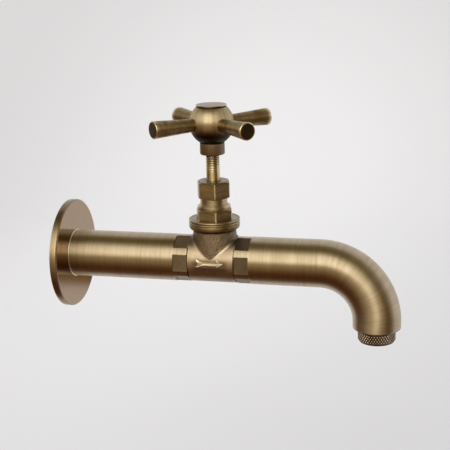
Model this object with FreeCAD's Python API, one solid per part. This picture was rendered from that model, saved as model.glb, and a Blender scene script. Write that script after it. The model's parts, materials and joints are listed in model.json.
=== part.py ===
import FreeCAD, Part
import math
import os

# Cross handle tap: a wall-mounted brass tap with a globe valve between a straight
# inlet tube and a down-turned spout, worked by a rising spindle with a four-armed
# handle. All sizes are in millimetres.
#
# Frame: the origin is the centre of the inlet's mouth, in the plane of the wall.
# +X runs out of the wall along the tubes, +Z is up along the spindle, and the
# spout points down at the far end.

# ---------------------------------------------------------------- driving sizes

# Tubes
TUBE_OD = 28.0
TUBE_WALL = 1.5
VALVE_X = 92.2                 # wall to spindle axis
SPOUT_X = 187.9                # wall to the axis of the spout's drop
BEND_RADIUS = 33.0             # centreline of the spout's bend
SPOUT_DROP = 37.1              # tube axis to the spout's lower edge
TUBE_EDGE_ROUND = 0.6

# Wall flange and its seal
FLANGE_OD = 65.0
FLANGE_THICKNESS = 4.3
FLANGE_CHAMFER = 0.7
FLANGE_DISH_DEPTH = 1.8        # relief in the hidden back face
FLANGE_RIM = 4.5               # flat rim that stays on the wall
SEAL_SECTION = 1.8             # side of the square-cut rubber ring
SEAL_SETBACK = 1.2             # wall to the ring's groove
SEAL_BOSS_WALL = 1.2           # brass outside the groove

# Threaded inlet socket
INLET_BORE = 18.6              # bore of the half-inch pipe thread
INLET_THREAD_LENGTH = 15.0
INLET_STOP_BORE = 14.0
INLET_STOP = 5.0
INLET_WASHER_THICKNESS = 2.0
INLET_UNDERCUT = 0.75          # radial room beside the washer, past the thread
INLET_END_WALL = 1.5           # rim left at the socket's tapered inner end

# Valve body casting
HALF_LENGTH = 22.8             # spindle axis to either end face
END_LENGTH = 8.6               # length of each spanner end
END_FLATS = 26.0               # across the six flats
BARREL_OD = 27.3
BARREL_BORE = 21.6
RELIEF_WIDTH = 0.6             # turned groove beside each spanner end
RELIEF_DEPTH = 0.5
RELIEF_TOP_GAP = 100.0         # degrees left plain over the top
SPIGOT_LENGTH = 7.0
SPIGOT_BORE = 19.0
NECK_TOP_RADIUS = 12.65
NECK_FOOT_RADIUS = 13.35
NECK_FOOT_Z = 2.3
SADDLE_RADIUS = 2.6            # fillet between barrel and neck
COLLAR_RADIUS = 15.0
BODY_TOP_Z = 23.5
COLLAR_LOW_Z = 21.2
COLLAR_ROOT_Z = 18.6
COLLAR_FLARE = 1.0             # height of the cast flare at the collar's root
COLLAR_GROOVE = 0.35
COLLAR_GROOVE_DROP = 1.1       # from the top face to the groove's middle
NECK_THREAD_RADIUS = 10.45
WEB_THICKNESS = 3.0
WEB_HALF_SPAN = 9.3            # spindle axis to the web's upright faces
WEB_LEAN = 4.5                 # how far those faces lean out towards the ports
SEAT_BORE = 12.0
SEAT_RIM = 1.5
SEAT_HEIGHT = 1.0

# Bonnet, gasket and gland
GASKET_THICKNESS = 0.4
GASKET_INSET = 0.6             # how far the gasket lies back from the collar
BONNET_FLANGE = 1.1
BONNET_FLATS = 19.8
BONNET_HEX_HEIGHT = 6.1
BONNET_SHOULDER_RADIUS = 9.7
BONNET_SHOULDER_HEIGHT = 1.6
BONNET_TAPER_HEIGHT = 1.3
BONNET_NECK_RADIUS = 7.9
BONNET_NECK_TOP_Z = 37.0
SKIRT_DEPTH = 11.4             # threaded skirt below the gasket
SKIRT_RECESS_RADIUS = 9.2
SKIRT_RECESS_DEPTH = 2.6
GLAND_THREAD_RADIUS = 7.4
GLAND_THREAD_HEIGHT = 6.5
PACKING_RADIUS = 6.2
PACKING_FLOOR_DROP = 5.7       # packing space below the bonnet's top
PACKING_HEIGHT = 3.5
FOLLOWER_HEIGHT = 3.3
GLAND_FLATS = 18.0
GLAND_LOW_GAP = 0.2
GLAND_WEB = 2.9
HEX_TURN = -10.0               # degrees that a hexagon's corner lies from +X
HEX_CROWN = 0.3                # how far the turned end face lies inside the flats
HEX_CROWN_SLOPE = 30.0         # degrees of the turned corners
EDGE_BREAK = 0.35              # small chamfer on turned edges

# Spindle, jumper and seat washer
SPINDLE_DIAMETER = 8.0
THREAD_RADIUS = 6.0
THREAD_TOP_Z = 29.0
THREAD_LENGTH = 15.0
THREAD_ROOM = 0.32             # left above the spindle's thread when fully open
FOOT_RADIUS = 4.9
LIFT = 6.0
STEM_GAP = 15.5                # visible spindle between gland nut and handle
SQUARE_SIZE = 5.6
SQUARE_LENGTH = 10.0
JUMPER_RADIUS = 8.6
JUMPER_THICKNESS = 2.0
JUMPER_PEG_RADIUS = 2.5
JUMPER_PEG_LENGTH = 7.5
JUMPER_STUD_RADIUS = 2.0
SEAT_WASHER_RADIUS = 8.0
SEAT_WASHER_THICKNESS = 3.0
WASHER_NUT_FLATS = 7.0
WASHER_NUT_HEIGHT = 2.2
STUD_END = 0.3

# Handle
HUB_RADIUS = 13.0
HUB_RISE = 18.0                # collar's lower face to the ball's centre
HUB_COLLAR_RADIUS = 7.2
HUB_COLLAR_HEIGHT = 6.9
HUB_COLLAR_STEP = 0.5
HUB_CUT = 9.5                  # ball's centre to the flat under the cap
ARM_COUNT = 4
ARM_TURN = 46.0                # degrees from +X to the first arm
ARM_REACH = 38.9
ARM_ROOT_RADIUS = 3.6
ARM_END_RADIUS = 5.1
ARM_END_ROUND = 0.5
ARM_TENON_RADIUS = 2.6
ARM_TENON_LENGTH = 4.0
ARM_SEAT = 11.6                # hub axis to the flat that an arm stands on
SCREW_RADIUS = 2.0
SCREW_HEAD_RADIUS = 3.5
SCREW_HEAD_HEIGHT = 2.2
SCREW_LENGTH = 8.0             # depth of the tapped hole
SCREW_END_GAP = 1.0            # hole's bottom to the screw's end
SCREW_SLOT_WIDTH = 1.0
SCREW_SLOT_DEPTH = 1.1
SCREW_WASHER_RADIUS = 4.4
SCREW_WASHER_THICKNESS = 0.8
CAP_RADIUS = 9.05
CAP_THICKNESS = 0.7
CAP_NECK_RADIUS = 8.3
CAP_NECK_HEIGHT = 0.8
CAP_SKIRT_RADIUS = 6.5
CAP_SKIRT_WALL = 1.0
CAP_SKIRT_DEPTH = 2.4
CAP_EDGE = 0.175

# Aerator
BUSH_WALL = 2.42               # thin wall of the bush beside the aerator's thread
BUSH_LEDGE = 2.0               # width of the bush's shoulder
AERATOR_REACH = 8.1            # below the spout's edge
AERATOR_SHOULDER = 1.0         # rim beyond the thread
AERATOR_WALL = 1.0             # thread to bore
AERATOR_THREAD_LENGTH = 4.5
AERATOR_LIP_WIDTH = 1.0
AERATOR_LIP = 1.2
AERATOR_GAP = 0.3              # dark gap between the spout's bush and the rim
AERATOR_CHAMFER = 1.0
BUSH_RECESS = 0.5
BUSH_LENGTH = 12.0
AERATOR_WASHER_THICKNESS = 1.5
CARTRIDGE_FLANGE = 1.0
CARTRIDGE_WALL = 1.2
CARTRIDGE_PLATE = 1.5
JET_RADIUS = 1.3
JET_PITCH = 4.4
SCREEN_THICKNESS = 0.5
SCREEN_HOLE_RADIUS = 1.2
SCREEN_PITCH = 3.1
HOLE_MARGIN = 0.4              # solid left between the outer holes and the edge
FIRST_RING = 6                 # holes in the ring next to the middle one

# Clearances
RUNNING = 0.05                 # radial, between turning pieces
SCREW_PLAY = 0.08              # radial, between moving threads
FACE_GAP = 0.05                # between flat faces that part or slide
SAME = 1e-4                    # two sizes closer than this are the same

# ---------------------------------------------------------------- derived sizes

TUBE_RADIUS = TUBE_OD / 2
TUBE_BORE_RADIUS = TUBE_RADIUS - TUBE_WALL
BARREL_RADIUS = BARREL_OD / 2
BARREL_BORE_RADIUS = BARREL_BORE / 2
SPINDLE_RADIUS = SPINDLE_DIAMETER / 2
VALVE_START = VALVE_X - HALF_LENGTH
VALVE_END = VALVE_X + HALF_LENGTH
SEAT_Z = WEB_THICKNESS / 2 + SEAT_HEIGHT
BONNET_FLANGE_Z = BODY_TOP_Z + GASKET_THICKNESS
BONNET_HEX_Z = BONNET_FLANGE_Z + BONNET_FLANGE
SHOULDER_Z = BONNET_HEX_Z + BONNET_HEX_HEIGHT
TAPER_Z = SHOULDER_Z + BONNET_SHOULDER_HEIGHT
BONNET_TOP_Z = BONNET_NECK_TOP_Z + GLAND_THREAD_HEIGHT
SKIRT_Z = BONNET_FLANGE_Z - SKIRT_DEPTH
PACKING_Z = BONNET_TOP_Z - PACKING_FLOOR_DROP
FOLLOWER_Z = PACKING_Z + PACKING_HEIGHT
FOLLOWER_TOP_Z = FOLLOWER_Z + FOLLOWER_HEIGHT
GLAND_LOW_Z = BONNET_NECK_TOP_Z + GLAND_LOW_GAP
GLAND_TOP_Z = FOLLOWER_TOP_Z + GLAND_WEB
THREAD_ROOM_Z = THREAD_TOP_Z + LIFT + THREAD_ROOM
HANDLE_Z = GLAND_TOP_Z + STEM_GAP
HUB_Z = HANDLE_Z + HUB_RISE
HUB_TOP_Z = HUB_Z + HUB_CUT
WASHER_Z = SEAT_Z + FACE_GAP
JUMPER_Z = WASHER_Z + SEAT_WASHER_THICKNESS
JUMPER_TOP_Z = JUMPER_Z + JUMPER_THICKNESS
SPINDLE_FOOT_Z = JUMPER_TOP_Z + FACE_GAP
SQUARE_Z = HANDLE_Z + HUB_COLLAR_HEIGHT
SPINDLE_TOP_Z = SQUARE_Z + SQUARE_LENGTH
SCREW_SEAT_Z = SPINDLE_TOP_Z + FACE_GAP
INLET_RADIUS = INLET_BORE / 2
INLET_UNDERCUT_RADIUS = INLET_RADIUS + INLET_UNDERCUT
AERATOR_THREAD_RADIUS = TUBE_BORE_RADIUS - BUSH_WALL - SCREW_PLAY
AERATOR_RIM_RADIUS = AERATOR_THREAD_RADIUS + AERATOR_SHOULDER
AERATOR_BORE_RADIUS = AERATOR_THREAD_RADIUS - AERATOR_WALL
AERATOR_LIP_RADIUS = AERATOR_BORE_RADIUS - AERATOR_LIP_WIDTH
BUSH_BORE_RADIUS = AERATOR_THREAD_RADIUS - BUSH_LEDGE
BUSH_Z = -SPOUT_DROP + BUSH_RECESS
AERATOR_RIM_Z = BUSH_Z - AERATOR_GAP
AERATOR_LOW_Z = -SPOUT_DROP - AERATOR_REACH
AERATOR_TOP_Z = AERATOR_RIM_Z + AERATOR_THREAD_LENGTH
CARTRIDGE_FLANGE_Z = AERATOR_TOP_Z + FACE_GAP
CARTRIDGE_TOP_Z = CARTRIDGE_FLANGE_Z + CARTRIDGE_FLANGE
BUSH_SHOULDER_Z = CARTRIDGE_TOP_Z + AERATOR_WASHER_THICKNESS + FACE_GAP
SCREEN_Z = AERATOR_LOW_Z + AERATOR_LIP + FACE_GAP
CARTRIDGE_LOW_Z = SCREEN_Z + SCREEN_THICKNESS

X_AXIS = FreeCAD.Vector(1, 0, 0)
Y_AXIS = FreeCAD.Vector(0, 1, 0)
Z_AXIS = FreeCAD.Vector(0, 0, 1)
OVERSIZE = 1.0                 # how far a cutter runs past what it cuts
FULL_TURN = 360.0


# ---------------------------------------------------------------- shape helpers

def at(x, y, z):
    """A point in the tap's frame."""
    return FreeCAD.Vector(x, y, z)


def upright(radius, low, high, x=VALVE_X):
    """A vertical cylinder."""
    return Part.makeCylinder(radius, high - low, at(x, 0, low), Z_AXIS)


def lengthwise(radius, start, end):
    """A cylinder on the tubes' axis."""
    return Part.makeCylinder(radius, end - start, at(start, 0, 0), X_AXIS)


def turned_upright(outline, x=VALVE_X):
    """A closed outline of (radius, height) turned about a vertical axis."""
    corners = [at(x + radius, 0, height) for radius, height in outline]
    face = Part.Face(Part.makePolygon(corners + corners[:1]))
    return face.revolve(at(x, 0, 0), Z_AXIS, FULL_TURN)


def turned_lengthwise(outline):
    """A closed outline of (distance, radius) turned about the tubes' axis."""
    corners = [at(distance, 0, radius) for distance, radius in outline]
    face = Part.Face(Part.makePolygon(corners + corners[:1]))
    return face.revolve(at(0, 0, 0), X_AXIS, FULL_TURN)


def hexagon(flats, low, high, x=VALVE_X, turn=HEX_TURN):
    """A plain hexagonal prism with its axis upright."""
    reach = flats / 2 / math.cos(math.pi / 6)
    angles = [math.radians(turn) + side * math.pi / 3 for side in range(6)]
    corners = [at(x + reach * math.cos(a), reach * math.sin(a), low) for a in angles]
    face = Part.Face(Part.makePolygon(corners + corners[:1]))
    return face.extrude(Z_AXIS * (high - low))


def crowned_hexagon(flats, low, high, crown_low, crown_high, turn=HEX_TURN):
    """A hexagonal prism whose corners are turned off at either end."""
    reach = flats / 2 / math.cos(math.pi / 6) + OVERSIZE
    inner = flats / 2 - HEX_CROWN
    drop = (reach - inner) * math.tan(math.radians(HEX_CROWN_SLOPE))
    outline = [(0, low), (inner if crown_low else reach, low)]
    if crown_low:
        outline.append((reach, low + drop))
    if crown_high:
        outline.append((reach, high - drop))
    outline += [(inner if crown_high else reach, high), (0, high)]
    return hexagon(flats, low, high, turn=turn).common(turned_upright(outline))


def circles_at(shape, radius, height):
    """The circular edges of one radius that lie at one height."""
    found = []
    for edge in shape.Edges:
        curve = edge.Curve
        if isinstance(curve, Part.Circle) and abs(curve.Radius - radius) < SAME:
            if abs(curve.Center.z - height) < SAME:
                found.append(edge)
    return found


def hole_pattern(plate_radius, pitch, radius, low, high):
    """A middle hole in the aerator and as many rings of holes as the plate has room for."""
    ring_count = int((plate_radius - radius - HOLE_MARGIN) / pitch)
    holes = [upright(radius, low, high, SPOUT_X)]
    for ring in range(1, ring_count + 1):
        count = FIRST_RING * ring
        for place in range(count):
            angle = 2 * math.pi * place / count
            hole = upright(radius, low, high, SPOUT_X + ring * pitch * math.cos(angle))
            hole.translate(at(0, ring * pitch * math.sin(angle), 0))
            holes.append(hole)
    return Part.makeCompound(holes)


# ---------------------------------------------------------------- wall side

def wall_flange():
    """Disc that covers the hole in the wall, dished behind and grooved for its seal."""
    outer = FLANGE_OD / 2
    dish = outer - FLANGE_RIM
    boss = TUBE_RADIUS + SEAL_SECTION + SEAL_BOSS_WALL
    bore = TUBE_RADIUS + RUNNING
    disc = turned_lengthwise([
        (0, dish), (0, outer), (FLANGE_THICKNESS - FLANGE_CHAMFER, outer),
        (FLANGE_THICKNESS, outer - FLANGE_CHAMFER), (FLANGE_THICKNESS, bore),
        (SEAL_SETBACK / 2, bore), (SEAL_SETBACK / 2, boss),
        (FLANGE_DISH_DEPTH, boss + FLANGE_DISH_DEPTH),
        (FLANGE_DISH_DEPTH, dish - FLANGE_DISH_DEPTH),
    ])
    groove = lengthwise(TUBE_RADIUS + SEAL_SECTION, SEAL_SETBACK, SEAL_SETBACK + SEAL_SECTION)
    return disc.cut(groove)


def wall_flange_seal():
    """Square-cut rubber ring in the flange's groove that grips the inlet tube."""
    end = SEAL_SETBACK + SEAL_SECTION
    outer = lengthwise(TUBE_RADIUS + SEAL_SECTION, SEAL_SETBACK, end)
    return outer.cut(lengthwise(TUBE_RADIUS, SEAL_SETBACK, end))


def inlet_tube():
    """Straight tube from the wall to the valve, slipped over the valve's spigot."""
    outer = lengthwise(TUBE_RADIUS, 0, VALVE_START)
    return outer.cut(lengthwise(TUBE_BORE_RADIUS, 0, VALVE_START))


def inlet_socket():
    """Threaded insert brazed into the tube's wall end, coned inside towards its stop."""
    stop_radius = INLET_STOP_BORE / 2
    stop_start = INLET_THREAD_LENGTH + INLET_WASHER_THICKNESS
    length = stop_start + INLET_STOP
    taper = TUBE_BORE_RADIUS - stop_radius - INLET_END_WALL
    return turned_lengthwise([
        (0, INLET_RADIUS), (0, TUBE_BORE_RADIUS), (length - taper, TUBE_BORE_RADIUS),
        (length, TUBE_BORE_RADIUS - taper), (length, stop_radius), (stop_start, stop_radius),
        (stop_start, INLET_UNDERCUT_RADIUS), (INLET_THREAD_LENGTH, INLET_UNDERCUT_RADIUS),
        (INLET_THREAD_LENGTH, INLET_RADIUS),
    ])


def inlet_washer():
    """Rubber washer in the undercut at the bottom of the inlet thread."""
    start = INLET_THREAD_LENGTH
    end = start + INLET_WASHER_THICKNESS
    outer = lengthwise(INLET_UNDERCUT_RADIUS, start, end)
    return outer.cut(lengthwise(INLET_STOP_BORE / 2, start, end))


# ---------------------------------------------------------------- valve body

def lying_hexagon(start, end):
    """A hexagonal prism on the tubes' axis, with a corner at the top."""
    prism = hexagon(END_FLATS, start, end, x=0, turn=0)
    prism.rotate(at(0, 0, 0), Y_AXIS, FULL_TURN / 4)
    return prism


def spanner_end(start, end):
    """Six flats cut on a turned end as wide as the tube, so its corners run on from it."""
    return lengthwise(TUBE_RADIUS, start, end).common(lying_hexagon(start, end))


def neck_outline():
    """Neck and collar outline: cast taper, flared root, and a grooved collar."""
    groove_z = BODY_TOP_Z - COLLAR_GROOVE_DROP
    return [
        (0, 0), (NECK_FOOT_RADIUS, 0), (NECK_FOOT_RADIUS, NECK_FOOT_Z),
        (NECK_TOP_RADIUS, COLLAR_ROOT_Z),
        (COLLAR_RADIUS - 2 * EDGE_BREAK, COLLAR_ROOT_Z + COLLAR_FLARE),
        (COLLAR_RADIUS, COLLAR_LOW_Z), (COLLAR_RADIUS, groove_z - COLLAR_GROOVE),
        (COLLAR_RADIUS - COLLAR_GROOVE, groove_z), (COLLAR_RADIUS, groove_z + COLLAR_GROOVE),
        (COLLAR_RADIUS, BODY_TOP_Z - EDGE_BREAK), (COLLAR_RADIUS - EDGE_BREAK, BODY_TOP_Z),
        (0, BODY_TOP_Z),
    ]


def tee():
    """Barrel and tapered neck, with a saddle fillet along the line where they meet."""
    half = HALF_LENGTH - END_LENGTH / 2
    barrel = lengthwise(BARREL_RADIUS, VALVE_X - half, VALVE_X + half)
    cone = Part.makeCone(
        NECK_FOOT_RADIUS, NECK_TOP_RADIUS, COLLAR_ROOT_Z - NECK_FOOT_Z,
        at(VALVE_X, 0, NECK_FOOT_Z), Z_AXIS)
    joined = barrel.fuse(cone.fuse(upright(NECK_FOOT_RADIUS, 0, NECK_FOOT_Z)))
    seam = [edge for edge in joined.Edges
            if NECK_FOOT_Z < edge.BoundBox.ZMin and edge.BoundBox.ZMax < COLLAR_ROOT_Z - OVERSIZE
            and edge.BoundBox.XLength > NECK_TOP_RADIUS / 2]
    return joined.makeFillet(SADDLE_RADIUS, seam)


def relief_groove(start):
    """Turned groove beside a spanner end, stopping short of the saddle on top."""
    end = start + RELIEF_WIDTH
    bottom = BARREL_RADIUS - RELIEF_DEPTH
    outside = TUBE_RADIUS + OVERSIZE
    outline = [(start, bottom), (start, outside), (end, outside), (end, bottom)]
    corners = [at(distance, 0, radius) for distance, radius in outline]
    face = Part.Face(Part.makePolygon(corners + corners[:1]))
    face.rotate(at(0, 0, 0), X_AXIS, RELIEF_TOP_GAP / 2)
    return face.revolve(at(0, 0, 0), X_AXIS, FULL_TURN - RELIEF_TOP_GAP)


def waterway():
    """Space inside the casting, less the web that carries the seat."""
    wall_end = END_LENGTH + TUBE_WALL
    chamber = lengthwise(BARREL_BORE_RADIUS, VALVE_START + wall_end, VALVE_END - wall_end)
    ports = lengthwise(SPIGOT_BORE / 2, VALVE_START - SPIGOT_LENGTH, VALVE_END + SPIGOT_LENGTH)
    shaft = upright(NECK_THREAD_RADIUS, 0, BODY_TOP_Z)
    space = chamber.fuse([ports, shaft])
    half = WEB_THICKNESS / 2
    reach = BARREL_RADIUS
    upper = [
        (-WEB_HALF_SPAN - WEB_LEAN - WEB_THICKNESS, reach), (-WEB_HALF_SPAN - WEB_LEAN, reach),
        (-WEB_HALF_SPAN, half), (WEB_HALF_SPAN + WEB_THICKNESS, half),
    ]
    outline = upper + [(-x, -z) for x, z in upper]
    corners = [at(VALVE_X + x, -reach, z) for x, z in outline]
    web = Part.Face(Part.makePolygon(corners + corners[:1])).extrude(Y_AXIS * (2 * reach))
    web = web.fuse(upright(SEAT_BORE / 2 + SEAT_RIM, 0, SEAT_Z))
    web = web.cut(upright(SEAT_BORE / 2, -half, SEAT_Z))
    return space.cut(web)


def valve_body():
    """Globe valve casting: two spanner ends with spigots, barrel, neck, collar and seat."""
    ends = [
        spanner_end(VALVE_START, VALVE_START + END_LENGTH),
        spanner_end(VALVE_END - END_LENGTH, VALVE_END),
    ]
    spigots = lengthwise(TUBE_BORE_RADIUS, VALVE_START - SPIGOT_LENGTH, VALVE_END + SPIGOT_LENGTH)
    between_ends = Part.makeBox(
        2 * (HALF_LENGTH - END_LENGTH), 2 * TUBE_OD, 2 * TUBE_OD,
        at(VALVE_START + END_LENGTH, -TUBE_OD, -TUBE_OD))
    casting = tee().common(lying_hexagon(VALVE_START, VALVE_END).fuse(between_ends))
    solid = casting.fuse(ends + [spigots, turned_upright(neck_outline())])
    for start in (VALVE_START + END_LENGTH, VALVE_END - END_LENGTH - RELIEF_WIDTH):
        solid = solid.cut(relief_groove(start))
    return solid.cut(waterway()).removeSplitter()


# ---------------------------------------------------------------- bonnet and gland

def bonnet_gasket():
    """Fibre ring between the body's collar and the bonnet's flange."""
    outer = upright(COLLAR_RADIUS - GASKET_INSET, BODY_TOP_Z, BONNET_FLANGE_Z)
    return outer.cut(upright(NECK_THREAD_RADIUS, BODY_TOP_Z, BONNET_FLANGE_Z))


def bonnet():
    """Screwed-in cover of the valve: skirt, flange, spanner hexagon and gland neck."""
    rim = COLLAR_RADIUS - EDGE_BREAK
    outside = turned_upright([
        (0, SKIRT_Z), (NECK_THREAD_RADIUS, SKIRT_Z), (NECK_THREAD_RADIUS, BONNET_FLANGE_Z),
        (rim, BONNET_FLANGE_Z), (COLLAR_RADIUS, BONNET_FLANGE_Z + EDGE_BREAK),
        (COLLAR_RADIUS, BONNET_HEX_Z - EDGE_BREAK), (rim, BONNET_HEX_Z),
        (BONNET_SHOULDER_RADIUS, BONNET_HEX_Z), (BONNET_SHOULDER_RADIUS, TAPER_Z),
        (BONNET_NECK_RADIUS, TAPER_Z + BONNET_TAPER_HEIGHT), (BONNET_NECK_RADIUS, BONNET_NECK_TOP_Z),
        (GLAND_THREAD_RADIUS, BONNET_NECK_TOP_Z), (GLAND_THREAD_RADIUS, BONNET_TOP_Z),
        (0, BONNET_TOP_Z),
    ])
    nut = crowned_hexagon(BONNET_FLATS, BONNET_HEX_Z, SHOULDER_Z, False, True)
    inside = turned_upright([
        (0, SKIRT_Z), (SKIRT_RECESS_RADIUS, SKIRT_Z),
        (SKIRT_RECESS_RADIUS, SKIRT_Z + SKIRT_RECESS_DEPTH),
        (THREAD_RADIUS + SCREW_PLAY, SKIRT_Z + SKIRT_RECESS_DEPTH),
        (THREAD_RADIUS + SCREW_PLAY, THREAD_ROOM_Z), (SPINDLE_RADIUS + SCREW_PLAY, THREAD_ROOM_Z),
        (SPINDLE_RADIUS + SCREW_PLAY, PACKING_Z), (PACKING_RADIUS, PACKING_Z),
        (PACKING_RADIUS, BONNET_TOP_Z), (0, BONNET_TOP_Z),
    ])
    return outside.fuse(nut).cut(inside).removeSplitter()


def gland_packing():
    """Packing ring round the spindle, at the bottom of the gland."""
    outer = upright(PACKING_RADIUS, PACKING_Z, FOLLOWER_Z)
    return outer.cut(upright(SPINDLE_RADIUS + RUNNING, PACKING_Z, FOLLOWER_Z))


def gland_follower():
    """Brass ring that the gland nut presses onto the packing."""
    outer = upright(PACKING_RADIUS - RUNNING, FOLLOWER_Z, FOLLOWER_TOP_Z)
    return outer.cut(upright(SPINDLE_RADIUS + SCREW_PLAY, FOLLOWER_Z, FOLLOWER_TOP_Z))


def gland_nut():
    """Hexagonal cap nut round the spindle, turned off at both ends."""
    nut = crowned_hexagon(GLAND_FLATS, GLAND_LOW_Z, GLAND_TOP_Z, True, True)
    nut = nut.cut(upright(GLAND_THREAD_RADIUS, GLAND_LOW_Z, FOLLOWER_TOP_Z))
    return nut.cut(upright(SPINDLE_RADIUS + SCREW_PLAY, FOLLOWER_TOP_Z, GLAND_TOP_Z))


# ---------------------------------------------------------------- moving valve parts

def seat_washer():
    """Rubber washer that closes the seat."""
    outer = upright(SEAT_WASHER_RADIUS, WASHER_Z, JUMPER_Z)
    return outer.cut(upright(JUMPER_STUD_RADIUS, WASHER_Z, JUMPER_Z))


def jumper():
    """Plate above the washer, with a stud below and a peg up into the spindle."""
    stud_low = WASHER_Z - WASHER_NUT_HEIGHT - STUD_END
    return turned_upright([
        (0, stud_low), (JUMPER_STUD_RADIUS - STUD_END, stud_low),
        (JUMPER_STUD_RADIUS, stud_low + STUD_END), (JUMPER_STUD_RADIUS, JUMPER_Z),
        (JUMPER_RADIUS, JUMPER_Z), (JUMPER_RADIUS, JUMPER_TOP_Z - STUD_END),
        (JUMPER_RADIUS - STUD_END, JUMPER_TOP_Z), (JUMPER_PEG_RADIUS, JUMPER_TOP_Z),
        (JUMPER_PEG_RADIUS, JUMPER_TOP_Z + JUMPER_PEG_LENGTH), (0, JUMPER_TOP_Z + JUMPER_PEG_LENGTH),
    ])


def washer_nut():
    """Small nut that holds the seat washer on the jumper's stud."""
    low = WASHER_Z - WASHER_NUT_HEIGHT
    nut = crowned_hexagon(WASHER_NUT_FLATS, low, WASHER_Z, True, False)
    return nut.cut(upright(JUMPER_STUD_RADIUS, low, WASHER_Z))


def spindle():
    """Rising spindle: socket for the jumper's peg, thread, plain stem and square."""
    thread_low = THREAD_TOP_Z - THREAD_LENGTH
    stem = turned_upright([
        (0, SPINDLE_FOOT_Z), (FOOT_RADIUS, SPINDLE_FOOT_Z), (FOOT_RADIUS, thread_low),
        (THREAD_RADIUS, thread_low), (THREAD_RADIUS, THREAD_TOP_Z), (SPINDLE_RADIUS, THREAD_TOP_Z),
        (SPINDLE_RADIUS, SQUARE_Z), (0, SQUARE_Z),
    ])
    square = Part.makeBox(
        SQUARE_SIZE, SQUARE_SIZE, SQUARE_LENGTH,
        at(VALVE_X - SQUARE_SIZE / 2, -SQUARE_SIZE / 2, SQUARE_Z))
    square.rotate(at(VALVE_X, 0, 0), Z_AXIS, ARM_TURN)
    socket_top = JUMPER_TOP_Z + JUMPER_PEG_LENGTH + FACE_GAP
    socket = upright(JUMPER_PEG_RADIUS + RUNNING, SPINDLE_FOOT_Z, socket_top)
    tapped = upright(SCREW_RADIUS, SPINDLE_TOP_Z - SCREW_LENGTH, SPINDLE_TOP_Z)
    return stem.fuse(square).cut(socket).cut(tapped).removeSplitter()


# ---------------------------------------------------------------- handle

def handle_hub():
    """Ball with a collar below, four arm seats, and a well for the screw and cap."""
    ball = Part.makeSphere(HUB_RADIUS, at(VALVE_X, 0, HUB_Z))
    collar_top = HANDLE_Z + HUB_COLLAR_HEIGHT
    keep = upright(HUB_RADIUS + OVERSIZE, collar_top, HUB_TOP_Z)
    collar = turned_upright([
        (0, HANDLE_Z), (HUB_COLLAR_RADIUS - HUB_COLLAR_STEP, HANDLE_Z),
        (HUB_COLLAR_RADIUS, HANDLE_Z + HUB_COLLAR_STEP),
        (HUB_COLLAR_RADIUS, collar_top - HUB_COLLAR_STEP),
        (HUB_COLLAR_RADIUS - HUB_COLLAR_STEP, collar_top), (0, collar_top),
    ])
    hub = ball.common(keep).fuse(collar)
    for index in range(ARM_COUNT):
        hub = hub.cut(handle_arm(index))
    well = upright(CAP_SKIRT_RADIUS, SCREW_SEAT_Z, HUB_TOP_Z)
    bore = upright(SPINDLE_RADIUS, HANDLE_Z, SQUARE_Z)
    square = Part.makeBox(
        SQUARE_SIZE, SQUARE_SIZE, SCREW_SEAT_Z - SQUARE_Z,
        at(VALVE_X - SQUARE_SIZE / 2, -SQUARE_SIZE / 2, SQUARE_Z))
    square.rotate(at(VALVE_X, 0, 0), Z_AXIS, ARM_TURN)
    return hub.cut([well, bore, square]).removeSplitter()


def handle_arm(index):
    """Arm that swells to a flat end, with a tenon brazed into the hub."""
    length = ARM_REACH - ARM_SEAT
    face = Part.Face(Part.makePolygon([
        at(0, 0, -ARM_TENON_LENGTH), at(ARM_TENON_RADIUS, 0, -ARM_TENON_LENGTH),
        at(ARM_TENON_RADIUS, 0, 0), at(ARM_ROOT_RADIUS, 0, 0),
        at(ARM_END_RADIUS, 0, length - ARM_END_ROUND), at(ARM_END_RADIUS - ARM_END_ROUND, 0, length),
        at(0, 0, length), at(0, 0, -ARM_TENON_LENGTH),
    ]))
    arm = face.revolve(at(0, 0, 0), Z_AXIS, FULL_TURN)
    arm.rotate(at(0, 0, 0), Y_AXIS, FULL_TURN / 4)
    arm.translate(at(ARM_SEAT, 0, HUB_Z))
    arm.rotate(at(0, 0, 0), Z_AXIS, ARM_TURN + index * FULL_TURN / ARM_COUNT)
    arm.translate(at(VALVE_X, 0, 0))
    return arm


def handle_screw_washer():
    """Plain washer under the handle screw."""
    top = SCREW_SEAT_Z + SCREW_WASHER_THICKNESS
    outer = upright(SCREW_WASHER_RADIUS, SCREW_SEAT_Z, top)
    return outer.cut(upright(SCREW_RADIUS + RUNNING, SCREW_SEAT_Z, top))


def handle_screw():
    """Slotted cheese-head screw that draws the hub down on the square."""
    seat = SCREW_SEAT_Z + SCREW_WASHER_THICKNESS
    head_top = seat + SCREW_HEAD_HEIGHT
    shank_low = SPINDLE_TOP_Z - SCREW_LENGTH + SCREW_END_GAP
    screw = upright(SCREW_RADIUS, shank_low, seat).fuse(upright(SCREW_HEAD_RADIUS, seat, head_top))
    slot = Part.makeBox(
        SCREW_HEAD_RADIUS * 2, SCREW_SLOT_WIDTH, SCREW_SLOT_DEPTH,
        at(VALVE_X - SCREW_HEAD_RADIUS, -SCREW_SLOT_WIDTH / 2, head_top - SCREW_SLOT_DEPTH))
    return screw.cut(slot).removeSplitter()


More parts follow.
